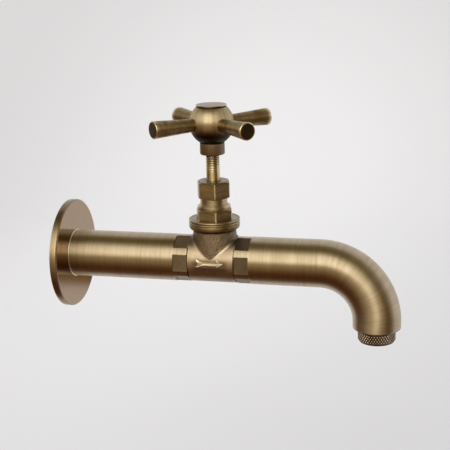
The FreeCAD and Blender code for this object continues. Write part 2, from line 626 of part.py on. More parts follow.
def handle_cap():
    """Plain disc over the screw, with a shadow groove below and a skirt in the well."""
    top = HUB_TOP_Z + CAP_NECK_HEIGHT + CAP_THICKNESS
    return turned_upright([
        (0, HUB_TOP_Z + CAP_EDGE), (CAP_SKIRT_RADIUS - CAP_SKIRT_WALL, HUB_TOP_Z + CAP_EDGE),
        (CAP_SKIRT_RADIUS - CAP_SKIRT_WALL, HUB_TOP_Z - CAP_SKIRT_DEPTH),
        (CAP_SKIRT_RADIUS, HUB_TOP_Z - CAP_SKIRT_DEPTH), (CAP_SKIRT_RADIUS, HUB_TOP_Z),
        (CAP_NECK_RADIUS, HUB_TOP_Z), (CAP_NECK_RADIUS, HUB_TOP_Z + CAP_NECK_HEIGHT),
        (CAP_RADIUS, HUB_TOP_Z + CAP_NECK_HEIGHT), (CAP_RADIUS, top - CAP_EDGE),
        (CAP_RADIUS - CAP_EDGE, top), (0, top),
    ])


# ---------------------------------------------------------------- spout and aerator

def spout_core(radius):
    """A round bar along the spout: a straight run, a quarter bend and a short drop."""
    bend_start = SPOUT_X - BEND_RADIUS
    run = lengthwise(radius, VALVE_END, bend_start)
    section = Part.Face(Part.Wire(Part.makeCircle(radius, at(bend_start, 0, 0), X_AXIS)))
    bend = section.revolve(at(bend_start, 0, -BEND_RADIUS), Y_AXIS, FULL_TURN / 4)
    drop = upright(radius, -SPOUT_DROP, -BEND_RADIUS, SPOUT_X)
    return run.fuse([bend, drop])


def spout_tube():
    """Bent tube over the valve's outlet spigot, with a rounded lower edge."""
    tube = spout_core(TUBE_RADIUS).cut(spout_core(TUBE_BORE_RADIUS)).removeSplitter()
    return tube.makeFillet(TUBE_EDGE_ROUND, circles_at(tube, TUBE_RADIUS, -SPOUT_DROP))


def spout_end_bush():
    """Threaded bush brazed in the spout's end, tapered above to clear the bend."""
    thread = AERATOR_THREAD_RADIUS + SCREW_PLAY
    top = BUSH_Z + BUSH_LENGTH
    outside_of_bend = BEND_RADIUS + TUBE_BORE_RADIUS
    rise = top + BEND_RADIUS
    crowding = outside_of_bend - math.sqrt(outside_of_bend ** 2 - rise ** 2)
    return turned_upright([
        (thread, BUSH_Z), (TUBE_BORE_RADIUS, BUSH_Z), (TUBE_BORE_RADIUS, -BEND_RADIUS),
        (TUBE_BORE_RADIUS - crowding - RUNNING, top), (BUSH_BORE_RADIUS, top),
        (BUSH_BORE_RADIUS, BUSH_SHOULDER_Z), (thread, BUSH_SHOULDER_Z),
    ], SPOUT_X)


def aerator_washer():
    """Rubber washer between the bush's shoulder and the cartridge."""
    low = CARTRIDGE_TOP_Z
    high = low + AERATOR_WASHER_THICKNESS
    outer = upright(AERATOR_THREAD_RADIUS, low, high, SPOUT_X)
    return outer.cut(upright(BUSH_BORE_RADIUS, low, high, SPOUT_X))


def aerator_cartridge():
    """Moulded insert: a flange that hangs on the ring, a wall and a plate of jet holes."""
    outer_radius = AERATOR_BORE_RADIUS - RUNNING
    inner_radius = outer_radius - CARTRIDGE_WALL
    plate_low = CARTRIDGE_TOP_Z - CARTRIDGE_PLATE
    shell = turned_upright([
        (0, plate_low), (inner_radius, plate_low), (inner_radius, CARTRIDGE_LOW_Z),
        (outer_radius, CARTRIDGE_LOW_Z), (outer_radius, CARTRIDGE_FLANGE_Z),
        (AERATOR_THREAD_RADIUS, CARTRIDGE_FLANGE_Z), (AERATOR_THREAD_RADIUS, CARTRIDGE_TOP_Z),
        (0, CARTRIDGE_TOP_Z),
    ], SPOUT_X)
    return shell.cut(hole_pattern(inner_radius, JET_PITCH, JET_RADIUS, plate_low, CARTRIDGE_TOP_Z))


def aerator_screen():
    """Outlet plate of fine holes, held on the ring's lip."""
    top = SCREEN_Z + SCREEN_THICKNESS
    disc = upright(AERATOR_BORE_RADIUS - RUNNING, SCREEN_Z, top, SPOUT_X)
    holes = hole_pattern(AERATOR_LIP_RADIUS, SCREEN_PITCH, SCREEN_HOLE_RADIUS, SCREEN_Z, top)
    return disc.cut(holes)


def aerator_ring():
    """Screwed rim that holds the cartridge: thread above, finger grip and lip below."""
    rim = AERATOR_RIM_RADIUS
    return turned_upright([
        (AERATOR_BORE_RADIUS, AERATOR_TOP_Z), (AERATOR_THREAD_RADIUS, AERATOR_TOP_Z),
        (AERATOR_THREAD_RADIUS, AERATOR_RIM_Z), (rim - EDGE_BREAK, AERATOR_RIM_Z),
        (rim, AERATOR_RIM_Z - EDGE_BREAK), (rim, AERATOR_LOW_Z + AERATOR_CHAMFER),
        (rim - AERATOR_CHAMFER, AERATOR_LOW_Z), (AERATOR_LIP_RADIUS, AERATOR_LOW_Z),
        (AERATOR_LIP_RADIUS, AERATOR_LOW_Z + AERATOR_LIP),
        (AERATOR_BORE_RADIUS, AERATOR_LOW_Z + AERATOR_LIP),
    ], SPOUT_X)


# ---------------------------------------------------------------- writing the pieces

def pieces():
    """Every sub-part by name."""
    made = {
        "wall_flange": wall_flange(),
        "wall_flange_seal": wall_flange_seal(),
        "inlet_tube": inlet_tube(),
        "inlet_socket": inlet_socket(),
        "inlet_washer": inlet_washer(),
        "valve_body": valve_body(),
        "bonnet_gasket": bonnet_gasket(),
        "bonnet": bonnet(),
        "gland_packing": gland_packing(),
        "gland_follower": gland_follower(),
        "gland_nut": gland_nut(),
        "seat_washer": seat_washer(),
        "jumper": jumper(),
        "washer_nut": washer_nut(),
        "spindle": spindle(),
        "handle_hub": handle_hub(),
        "handle_screw_washer": handle_screw_washer(),
        "handle_screw": handle_screw(),
        "handle_cap": handle_cap(),
        "spout_tube": spout_tube(),
        "spout_end_bush": spout_end_bush(),
        "aerator_washer": aerator_washer(),
        "aerator_cartridge": aerator_cartridge(),
        "aerator_screen": aerator_screen(),
        "aerator_ring": aerator_ring(),
    }
    for index in range(ARM_COUNT):
        made["handle_arm_%d" % (index + 1)] = handle_arm(index)
    return made


os.makedirs("parts", exist_ok=True)
for name, shape in pieces().items():
    shape.exportStep("parts/%s.step" % name)
    print("%-22s %2d solid %8.3f cm3 valid %s" % (
        name, len(shape.Solids), shape.Volume / 1000, shape.isValid()))
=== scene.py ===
"""Looks of a cross handle tap: its meshes, its finishes and a small studio.

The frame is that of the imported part, in metres. The origin is the centre of the inlet's
mouth in the plane of the wall, +X runs out along the tubes and +Z up along the spindle.
Outlines and the size fields of the classes are in millimetres.
"""

import json
import logging
import math
from collections.abc import Callable, Iterable, Sequence
from dataclasses import dataclass, field
from enum import Enum

import bmesh
import bpy
import numpy as np
from mathutils import Matrix, Vector


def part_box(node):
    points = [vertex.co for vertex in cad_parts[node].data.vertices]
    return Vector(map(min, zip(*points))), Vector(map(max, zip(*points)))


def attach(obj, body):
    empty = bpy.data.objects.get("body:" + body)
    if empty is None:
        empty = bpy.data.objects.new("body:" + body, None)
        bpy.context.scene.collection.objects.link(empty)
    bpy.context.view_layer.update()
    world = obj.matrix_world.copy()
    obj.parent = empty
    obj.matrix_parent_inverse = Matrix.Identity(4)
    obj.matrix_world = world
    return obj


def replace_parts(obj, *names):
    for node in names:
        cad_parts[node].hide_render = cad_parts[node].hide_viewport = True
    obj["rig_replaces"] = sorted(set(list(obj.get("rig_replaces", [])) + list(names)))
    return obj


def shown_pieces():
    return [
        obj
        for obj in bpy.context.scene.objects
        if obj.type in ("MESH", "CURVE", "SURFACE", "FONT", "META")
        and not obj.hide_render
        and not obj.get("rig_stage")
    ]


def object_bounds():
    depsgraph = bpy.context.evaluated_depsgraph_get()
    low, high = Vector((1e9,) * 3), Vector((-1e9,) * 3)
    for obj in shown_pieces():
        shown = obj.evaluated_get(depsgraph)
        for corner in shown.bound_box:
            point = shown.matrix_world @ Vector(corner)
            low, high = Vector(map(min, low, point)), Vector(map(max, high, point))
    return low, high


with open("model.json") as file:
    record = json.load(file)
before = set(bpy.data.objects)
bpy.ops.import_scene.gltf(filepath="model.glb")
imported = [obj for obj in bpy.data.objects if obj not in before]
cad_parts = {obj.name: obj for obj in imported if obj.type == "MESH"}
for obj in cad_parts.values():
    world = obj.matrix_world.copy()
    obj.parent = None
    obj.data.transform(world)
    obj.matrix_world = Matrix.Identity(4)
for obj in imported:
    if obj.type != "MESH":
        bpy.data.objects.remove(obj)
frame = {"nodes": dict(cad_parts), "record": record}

CAD_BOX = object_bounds()
MM = 0.001
TURN = 2 * math.pi
QUARTER = math.pi / 2
SIXTH = math.pi / 3
MERGE = 1e-7  # metres between vertices that become one
LOG = logging.getLogger("tap")
OUT = Vector((1.0, 0.0, 0.0))
UP = Vector((0.0, 0.0, 1.0))
X, Y, Z = range(3)

Corner = tuple[float, float]
Colour = tuple[float, float, float]
Mapper = Callable[[Vector], tuple[Vector, Vector]]
Socket = bpy.types.NodeSocket
Edges = list[bmesh.types.BMEdge]

# How the finishes mix their shared groups.
DRAWN_OUT = 0.035  # length of the lay along a scratch
EDGE_WIDTH = 0.8 * MM
HOLLOW_WIDTH = 1.6 * MM
# Darkness of the patina in hollows, and of the dirt and painted shade, as shares of the dark tone.
HOLLOW_SHADE, DIRT_AND_SHADE_DARKNESS = 0.25, 0.12  # of the dark tone
CAST_SPECKS, CAST_RELIEF = 0.08, 0.06  # least share on smooth parts of a casting
CLOUD_ROUGH, STREAK_ROUGH, HOLLOW_ROUGH, WORN_ROUGH = 0.10, 0.12, 0.25, -0.08
LACQUER_ROUGH = 0.18
PLAIN_ROUGH, PLAIN_RELIEF = 0.08, 5e-6


class Grain(Enum):
    """How the surface of a finish was worked."""

    ROUND = "brushed round the piece"
    LENGTHWISE = "brushed along the piece"
    CAST = "left as cast"

    @property
    def stretch(self) -> Colour:
        """How the lay is shortened along the scratches, so that they are drawn out."""
        return (DRAWN_OUT, 1.0, 1.0) if self is Grain.LENGTHWISE else (1.0, DRAWN_OUT, DRAWN_OUT)


# ------------------------------------------------------------------ node boards


class Board:
    """A node tree with short calls to add nodes and join them."""

    def __init__(self, tree: bpy.types.NodeTree) -> None:
        """Keeps the tree that nodes are added to."""
        self.tree = tree

    @classmethod
    def fresh(cls, owner: bpy.types.Material | bpy.types.World) -> "Board":
        """Starts an empty board.

        Args:
            owner: A new material or world.

        Returns:
            The board on its node tree.
        """
        owner.use_nodes = True
        owner.node_tree.nodes.clear()
        return cls(owner.node_tree)

    def add(self, kind: str, inputs: dict | None = None, **settings: object) -> bpy.types.Node:
        """Adds one node.

        Args:
            kind: The node's type name.
            inputs: Values, sockets or nodes for its input sockets, by name or index.
            settings: Attributes to set on the node first.

        Returns:
            The node.
        """
        node = self.tree.nodes.new(kind)
        for name, value in settings.items():
            setattr(node, name, value)
        for name, value in (inputs or {}).items():
            self.feed(node.inputs[name], value)
        return node

    def feed(self, socket: Socket, value: object) -> None:
        """Links to a socket, or writes a plain value on it.

        Args:
            socket: The input socket.
            value: An output socket, a node for its first output, or a value.
        """
        if isinstance(value, bpy.types.Node):
            value = value.outputs[0]
        if isinstance(value, Socket):
            self.tree.links.new(value, socket)
        else:
            socket.default_value = value

    def compute(self, operation: str, *values: object, clamp: bool = False) -> Socket:
        """The result of a Math node on one to three values."""
        return self.add("ShaderNodeMath", dict(enumerate(values)), operation=operation,
                        use_clamp=clamp).outputs[0]

    def product(self, first: object, *others: object) -> Socket:
        """Multiplies values.

        Args:
            first: The first value or socket.
            others: The other ones.

        Returns:
            Their product.
        """
        for other in others:
            first = self.compute("MULTIPLY", first, other)
        return first

    def vector(self, operation: str, *values: object) -> Socket:
        """The vector of a Vector Math node."""
        return self.add("ShaderNodeVectorMath", dict(enumerate(values)),
                        operation=operation).outputs[0]

    def mix(self, share: object, first: object, second: object) -> Socket:
        """A colour between two colours."""
        return self.add("ShaderNodeMix", {0: share, 6: first, 7: second},
                        data_type="RGBA").outputs[2]

    def spread(self, value: object, low: float, high: float,
               first: float = 0.0, last: float = 1.0) -> Socket:
        """Maps a value smoothly from one range to another, with both ends held."""
        return self.add("ShaderNodeMapRange", dict(enumerate((value, low, high, first, last))),
                        interpolation_type="SMOOTHSTEP").outputs[0]

    def noise(self, where: object, scale: float, detail: float,
              roughness: float = 0.5) -> Socket:
        """Noise between 0 and 1 at a place."""
        return self.add("ShaderNodeTexNoise", {
            "Vector": where, "Scale": scale, "Detail": detail, "Roughness": roughness}).outputs[0]

    def attribute(self, name: str, output: str = "Fac") -> Socket:
        """What a vertex attribute holds."""
        return self.add("ShaderNodeAttribute", attribute_name=name).outputs[output]

    def surface(self, inputs: dict, height: Socket, relief: object) -> bpy.types.Node:
        """Makes a Principled surface with a fine relief and shows it.

        Args:
            inputs: Values of the Principled shader's sockets, by name.
            height: The height of the relief, from 0 to 1.
            relief: What a height of 1 is in metres.

        Returns:
            The Principled shader.
        """
        bump = self.add("ShaderNodeBump", {"Height": height, "Strength": 1.0, "Distance": relief})
        shader = self.add("ShaderNodeBsdfPrincipled", {**inputs, "Normal": bump.outputs["Normal"]})
        self.add("ShaderNodeOutputMaterial", {"Surface": shader})
        return shader

    def seen(self, mirrored: bpy.types.Node, direct: bpy.types.Node) -> bpy.types.Node:
        """One shader for all other rays and one for the camera's."""
        camera = self.add("ShaderNodeLightPath").outputs["Is Camera Ray"]
        return self.add("ShaderNodeMixShader", {0: camera, 1: mirrored, 2: direct})


def opaque(colour: Colour, shade: float = 1.0) -> tuple[float, float, float, float]:
    """A colour with full alpha, darkened to a share of itself."""
    return (*(part * shade for part in colour), 1.0)


def shared_group(name: str, inputs: str, vectors: str, outputs: str) -> tuple[
        bpy.types.NodeTree, Board, bpy.types.Node, bpy.types.Node]:
    """Starts a shader node group.

    Args:
        name: The group's name.
        inputs: Names of its number inputs, with a comma between them.
        vectors: Names of its vector inputs, likewise.
        outputs: Names of its number outputs, likewise.

    Returns:
        The group, a board on it, its input node and its output node.
    """
    tree = bpy.data.node_groups.new(name, "ShaderNodeTree")
    for labels, way, kind in ((inputs, "INPUT", "NodeSocketFloat"),
                              (vectors, "INPUT", "NodeSocketVector"),
                              (outputs, "OUTPUT", "NodeSocketFloat")):
        for label in filter(None, labels.split(",")):
            tree.interface.new_socket(label, in_out=way, socket_type=kind)
    board = Board(tree)
    return tree, board, board.add("NodeGroupInput"), board.add("NodeGroupOutput")


def brushing_group() -> bpy.types.NodeTree:
    """Fine parallel scratches, from the lay attribute.

    Returns:
        The group.
    """
    tree, board, given, result = shared_group("brushing", "", "Lay,Stretch", "Streak")
    drawn_out = board.vector("MULTIPLY", given.outputs["Lay"], given.outputs["Stretch"])
    fine = board.noise(drawn_out, 2600.0, 3.0, 0.65)
    coarse = board.noise(drawn_out, 800.0, 3.0, 0.6)
    streak = board.compute("ADD", board.product(fine, 0.4), board.product(coarse, 0.6))
    board.feed(result.inputs["Streak"], board.spread(streak, 0.36, 0.64))
    return tree


def wear_group() -> bpy.types.NodeTree:
    """Bright rubbed edges and dark hollows, from rays inside and outside the surface.

    Returns:
        The group.
    """
    tree, board, given, result = shared_group("wear", "Edge width,Hollow width", "", "Edge,Hollow")
    within = board.add("ShaderNodeAmbientOcclusion", {"Distance": given.outputs["Edge width"]},
                       inside=True, only_local=True, samples=6)
    around = board.add("ShaderNodeAmbientOcclusion", {"Distance": given.outputs["Hollow width"]},
                       samples=6)
    board.feed(result.inputs["Edge"], board.spread(within.outputs["AO"], 0.92, 0.55))
    board.feed(result.inputs["Hollow"], board.spread(around.outputs["AO"], 0.85, 0.25))
    return tree


def patina_group() -> bpy.types.NodeTree:
    """Uneven darkening of old brass: broad clouds, small specks and the pits of a casting.

    Returns:
        The group.
    """
    tree, board, given, result = shared_group("patina", "", "Place", "Cloud,Speck,Pit")
    for label, scale, detail, low, high in (("Cloud", 130.0, 4.0, 0.35, 0.68),
                                            ("Speck", 1900.0, 2.0, 0.45, 0.70),
                                            ("Pit", 2000.0, 3.0, 0.36, 0.64)):
        grain = board.noise(given.outputs["Place"], scale, detail, 0.6)
        board.feed(result.inputs[label], board.spread(grain, low, high))
    return tree


@dataclass
class FinishGroups:
    """The node groups that the finishes share."""

    brushing: bpy.types.NodeTree = field(default_factory=brushing_group)
    wear: bpy.types.NodeTree = field(default_factory=wear_group)
    patina: bpy.types.NodeTree = field(default_factory=patina_group)


# ------------------------------------------------------------------ finishes


@dataclass(frozen=True)
class Tones:
    """The colours of one brass finish, from its dark patina to its rubbed edges; the dark one also
    serves painted shade, the bright one painted highlights.
    """

    base: Colour
    dark: Colour
    bright: Colour


@dataclass(frozen=True)
class Brass:
    """One brass finish.

    Attributes:
        name: Its name.
        slot: The record's material slot.
        tones: Its colours.
        grain: How it was worked.
        roughness: Roughness of clean metal.
        streaks: Strength of the scratches in colour and roughness.
        clouds: Share of dark patina in the broad clouds.
        specks: Share of dark patina in the small specks.
        edge: Strength of the rubbed edges.
        hollow: Strength of the dark patina in hollows.
        relief: Height of the grain in metres.
        stretch: How much a reflection is drawn out across the scratches.
        lacquer: Weight of the clear lacquer.
    """

    name: str
    slot: str
    tones: Tones
    grain: Grain
    roughness: float
    streaks: float = 0.3
    clouds: float = 0.3
    specks: float = 0.2
    edge: float = 0.6
    hollow: float = 0.6
    relief: float = 2e-6
    stretch: float = 0.0
    lacquer: float = 0.3

    def build(self, groups: FinishGroups) -> bpy.types.Material:
        """Makes the material.

        Args:
            groups: The shared node groups.

        Returns:
            The material.
        """
        material = bpy.data.materials.new(self.name)
        board = Board.fresh(material)
        place = board.add("ShaderNodeTexCoord").outputs["Object"]
        brushed = board.add("ShaderNodeGroup", {
            "Lay": board.attribute("lay", "Vector"), "Stretch": self.grain.stretch},
            node_tree=groups.brushing)
        used = board.add("ShaderNodeGroup", {
            "Edge width": EDGE_WIDTH, "Hollow width": HOLLOW_WIDTH}, node_tree=groups.wear)
        aged = board.add("ShaderNodeGroup", {"Place": place}, node_tree=groups.patina)
        cloud, streak = aged.outputs["Cloud"], brushed.outputs["Streak"]
        hollow = used.outputs["Hollow"]
        # Rubbed edges from the rays, plus the wear attribute, which also holds painted highlights.
        bare_or_sheen = board.compute("MULTIPLY_ADD", used.outputs["Edge"], self.edge,
                             board.attribute("wear_and_sheen"), clamp=True)
        dark = opaque(self.tones.dark)
        if self.grain is Grain.CAST:
            height = aged.outputs["Pit"]
            rugged = board.attribute("rough")
            second = board.product(height, board.compute(
                "MULTIPLY_ADD", rugged, self.specks, CAST_SPECKS * bool(self.specks)))
            relief = board.compute("MULTIPLY_ADD", rugged, self.relief, self.relief * CAST_RELIEF)
            layers = [(second, dark)]
        else:
            height, relief = streak, self.relief
            layers = [(board.product(aged.outputs["Speck"], self.specks), dark),
                      (board.product(streak, self.streaks), dark)]
        tint = opaque(self.tones.base)
        # The dark attribute mixes in real dirt and painted shade; the bright mix below carries real
        # wear and painted highlights.
        for share, colour in [(board.product(cloud, self.clouds), dark), *layers,
                              (board.product(hollow, self.hollow),
                               opaque(self.tones.dark, HOLLOW_SHADE)),
                              (bare_or_sheen, opaque(self.tones.bright)),
                              (board.attribute("dirt_and_shade"), opaque(self.tones.dark, DIRT_AND_SHADE_DARKNESS))]:
            tint = board.mix(share, tint, colour)
        rough = self.roughness
        for mask, weight in ((cloud, CLOUD_ROUGH * self.clouds), (hollow, HOLLOW_ROUGH),
                             (streak, STREAK_ROUGH * self.streaks)):
            rough = board.compute("MULTIPLY_ADD", mask, weight, rough)
        rough = board.compute("MULTIPLY_ADD", bare_or_sheen, WORN_ROUGH, rough, clamp=True)
        shader = board.surface({
            "Base Color": tint, "Metallic": 1.0, "Roughness": rough, "Anisotropic": self.stretch,
            "Coat Weight": self.lacquer, "Coat Roughness": LACQUER_ROUGH}, height, relief)
        if self.stretch:
            across = board.attribute("around", "Vector")
            if self.grain is Grain.ROUND:
                normal = board.add("ShaderNodeNewGeometry").outputs["Normal"]
                across = board.vector("CROSS_PRODUCT", normal, across)
            board.feed(shader.inputs["Tangent"], across)
        return material


@dataclass(frozen=True)
class Plain:
    """A finish of a hidden soft or moulded piece, with a fine mottle.

    Attributes:
        slot: The record's material slot, which is also its name.
        colour: Its colour.
        second: The colour of its mottle.
        roughness: Its roughness.
        metal: 1 for a metal.
        scale: Scale of the mottle.
    """

    slot: str
    colour: Colour
    second: Colour
    roughness: float
    metal: float = 0.0
    scale: float = 1500.0

    @property
    def name(self) -> str:
        """The finish's name."""
        return self.slot

    def build(self, groups: FinishGroups) -> bpy.types.Material:
        """Makes the material.

        Args:
            groups: The shared node groups.

        Returns:
            The material.
        """
        material = bpy.data.materials.new(self.slot)
        board = Board.fresh(material)
        place = board.add("ShaderNodeTexCoord").outputs["Object"]
        aged = board.add("ShaderNodeGroup", {"Place": place}, node_tree=groups.patina)
        mottle = board.spread(board.noise(place, self.scale, 3.0), 0.35, 0.65)
        board.surface({
            "Base Color": board.mix(mottle, opaque(self.colour), opaque(self.second)),
            "Metallic": self.metal, "Roughness": board.compute(
                "MULTIPLY_ADD", aged.outputs["Cloud"], PLAIN_ROUGH, self.roughness)},
            mottle, PLAIN_RELIEF)
        return material


ANTIQUE = Tones((0.64, 0.545, 0.395), (0.40, 0.29, 0.14), (0.86, 0.75, 0.55))
MILKY = Tones((0.420, 0.300, 0.195), (0.28, 0.20, 0.12), (0.84, 0.72, 0.50))
SANDY = Tones((0.63, 0.515, 0.375), (0.17, 0.105, 0.050), (0.92, 0.82, 0.62))
TURNED = Tones((0.50, 0.385, 0.205), (0.20, 0.130, 0.050), (0.90, 0.78, 0.54))
YELLOW = Tones((0.82, 0.71, 0.44), (0.40, 0.29, 0.11), (0.92, 0.80, 0.50))
RELIEF = Tones((0.82, 0.70, 0.50), (0.30, 0.20, 0.10), (0.95, 0.88, 0.70))
COPPERY = Tones((0.80, 0.64, 0.47), (0.17, 0.09, 0.050), (0.97, 0.88, 0.74))
GOLDEN = Tones((0.52, 0.42, 0.27), (0.26, 0.18, 0.08), (0.88, 0.77, 0.56))
SMOKY = Tones((0.31, 0.245, 0.185), (0.24, 0.17, 0.10), (0.86, 0.75, 0.55))

FINISHES = (
    Brass("satin_brass", "satin_brass", ANTIQUE, Grain.ROUND, 0.42, streaks=0.38, clouds=0.10,
          specks=0.05, edge=0.4, hollow=0.0, stretch=0.89, relief=1.0e-6, lacquer=0.3),
    Brass("disc_brass", "disc_brass", MILKY, Grain.ROUND, 0.06, streaks=0.10, clouds=0.10,
          specks=0.05, edge=0.5, hollow=0.0, relief=0.2e-6, lacquer=0.0),
    Brass("rim_brass", "disc_brass", GOLDEN, Grain.ROUND, 0.34, streaks=0.4, clouds=0.2,
          specks=0.1, edge=0.8, hollow=0.0, stretch=0.7, relief=1.0e-6),
    Brass("cast_brass", "cast_brass", SANDY, Grain.CAST, 0.29, clouds=0.30, specks=0.70, edge=0.7,
          hollow=0.9, stretch=0.5, relief=110e-6, lacquer=0.0),
    Brass("arrow_brass", "cast_brass", RELIEF, Grain.CAST, 0.42, clouds=0.0, specks=0.0,
          edge=1.0, hollow=0.4, relief=6e-6),
    Brass("turned_brass", "turned_brass", TURNED, Grain.ROUND, 0.34, streaks=0.6, clouds=0.5,
          specks=0.35, edge=0.9, hollow=0.9, stretch=0.6, relief=2e-6, lacquer=0.15),
    Brass("hub_brass", "turned_brass", ANTIQUE, Grain.LENGTHWISE, 0.38, streaks=0.75, clouds=0.2,
          specks=0.05, edge=0.6, hollow=0.9, stretch=0.85, relief=1.6e-6, lacquer=0.1),
    Brass("cap_brass", "turned_brass", SMOKY, Grain.ROUND, 0.28, streaks=0.3, clouds=0.3,
          specks=0.1, edge=0.8, hollow=0.9, relief=1e-6, lacquer=0.0),
    Brass("arm_brass", "turned_brass", TURNED, Grain.ROUND, 0.30, streaks=0.7, clouds=0.9,
          specks=0.5, edge=1.0, hollow=0.8, stretch=0.5, relief=5e-6, lacquer=0.0),
    Brass("grip_brass", "turned_brass", COPPERY, Grain.ROUND, 0.32, streaks=0.2, clouds=0.3,
          specks=0.2, edge=0.6, hollow=1.0, relief=1e-6, lacquer=0.0),
    Brass("plain_brass", "plain_brass", YELLOW, Grain.ROUND, 0.30, streaks=0.25, clouds=0.15,
          specks=0.1, edge=0.4, hollow=0.6, stretch=0.8, relief=1.2e-6),
    Plain("black_rubber", (0.020, 0.020, 0.020), (0.035, 0.034, 0.033), 0.55),
    Plain("grey_fibre", (0.10, 0.085, 0.07), (0.17, 0.15, 0.12), 0.8),
    Plain("white_packing", (0.80, 0.78, 0.72), (0.62, 0.60, 0.55), 0.8, scale=900.0),
    Plain("white_plastic", (0.84, 0.84, 0.82), (0.78, 0.78, 0.76), 0.4),
    Plain("steel_screen", (0.58, 0.57, 0.55), (0.46, 0.45, 0.43), 0.3, metal=1.0),
)


# ------------------------------------------------------------------ mesh helpers


def span(node: str, axis: int = Z) -> tuple[float, float]:
    """Where a node's box starts and ends along an axis, in millimetres."""
    low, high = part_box(node)
    return low[axis] / MM, high[axis] / MM


def half_width(node: str, axis: int = Y) -> float:
    """Half the size of a node's box along an axis, in millimetres."""
    low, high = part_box(node)
    return (high[axis] - low[axis]) / 2 / MM


def ease(value: float, low: float, high: float) -> float:
    """Rises smoothly from 0 at low to 1 at high, or falls where low is above high."""
    share = min(1.0, max(0.0, (value - low) / (high - low)))
    return share * share * (3 - 2 * share)


def paint(bm: bmesh.types.BMesh, name: str,
          rule: Callable[[bmesh.types.BMVert], float]) -> None:
    """Writes a value on every vertex, for the materials to read.

    Args:
        bm: The bmesh.
        name: The attribute's name: the one for dirt and painted shade, rough, or the one for wear
            and painted highlights.
        rule: Gives the value at a vertex, from 0 to 1.
    """
    layer = bm.verts.layers.float.new(name)
    for vert in bm.verts:
        vert[layer] = min(1.0, max(0.0, rule(vert)))


def rolled(bm: bmesh.types.BMesh, edges: Edges, offset: float, segments: int = 3) -> None:
    """Rounds edges to a width in millimetres."""
    bmesh.ops.bevel(bm, geom=edges, offset=offset * MM, offset_type="OFFSET", segments=segments,
                    profile=0.5, affect="EDGES", material=-1, clamp_overlap=True)


def rounded(bm: bmesh.types.BMesh, offset: float, least: float = 25.0) -> None:
    """Rounds every edge that turns by more than some degrees.

    Args:
        bm: The bmesh.
        offset: Width of the rounding, in millimetres.
        least: Degrees between its faces from which an edge is rounded.
    """
    bmesh.ops.recalc_face_normals(bm, faces=bm.faces)
    rolled(bm, [edge for edge in bm.edges if edge.is_manifold
                and edge.calc_face_angle(0.0) > math.radians(least)], offset)


def drawn(bm: bmesh.types.BMesh, edges: Edges, step: Vector) -> Edges:
    """Draws edges out by a step and returns the new edges that match them.

    Args:
        bm: The bmesh.
        edges: The edges.
        step: The step in metres.

    Returns:
        The new edges.
    """
    made = bmesh.ops.extrude_edge_only(bm, edges=edges)["geom"]
    ends = {item for item in made if isinstance(item, bmesh.types.BMVert)}
    bmesh.ops.translate(bm, vec=step, verts=list(ends))
    return [item for item in made if isinstance(item, bmesh.types.BMEdge)
            and item.verts[0] in ends and item.verts[1] in ends]


@dataclass
class Workshop:
    """Turns bmeshes into finished pieces.

    Attributes:
        materials: Every material by its finish's name.
        slots: The record's material slot of every finish.
    """

    materials: dict[str, bpy.types.Material] = field(default_factory=dict)
    slots: dict[str, str] = field(default_factory=dict)

    def __post_init__(self) -> None:
        """Makes every finish's material."""
        groups = FinishGroups()
        for finish in FINISHES:
            self.materials[finish.name] = finish.build(groups)
            self.slots[finish.name] = finish.slot

    def settle(self, bm: bmesh.types.BMesh, name: str, body: str, finish: str, nodes: Iterable[str],
               mapper: Mapper, crease: float = 32.0, second: str | None = None) -> None:
        """Makes a piece of a bmesh and puts it on its body.

        Args:
            bm: The finished bmesh, in the frame of the part. It is freed.
            name: The piece's name.
            body: The body that it rides on.
            finish: Its finish's name.
            nodes: The nodes that the piece stands for.
            mapper: Gives the lay and the direction round the piece at a point.
            crease: Degrees above which an edge is sharp.
            second: Name of the finish of the faces whose material index is 1.
        """
        bmesh.ops.remove_doubles(bm, verts=bm.verts, dist=MERGE)
        bmesh.ops.recalc_face_normals(bm, faces=bm.faces)
        lay = bm.verts.layers.float_vector.new("lay")
        around = bm.verts.layers.float_vector.new("around")
        for vert in bm.verts:
            vert[lay], vert[around] = mapper(vert.co)
        mesh = bpy.data.meshes.new(name)
        bm.to_mesh(mesh)
        bm.free()
        for label in (finish, second):
            if label:
                mesh.materials.append(self.materials[label])
        mesh.shade_smooth()
        mesh.set_sharp_from_angle(angle=math.radians(crease))
        piece = bpy.data.objects.new(name, mesh)
        bpy.context.scene.collection.objects.link(piece)
        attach(piece, body)
        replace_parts(piece, *nodes)
        LOG.info("%s: %d faces", name, len(mesh.polygons))


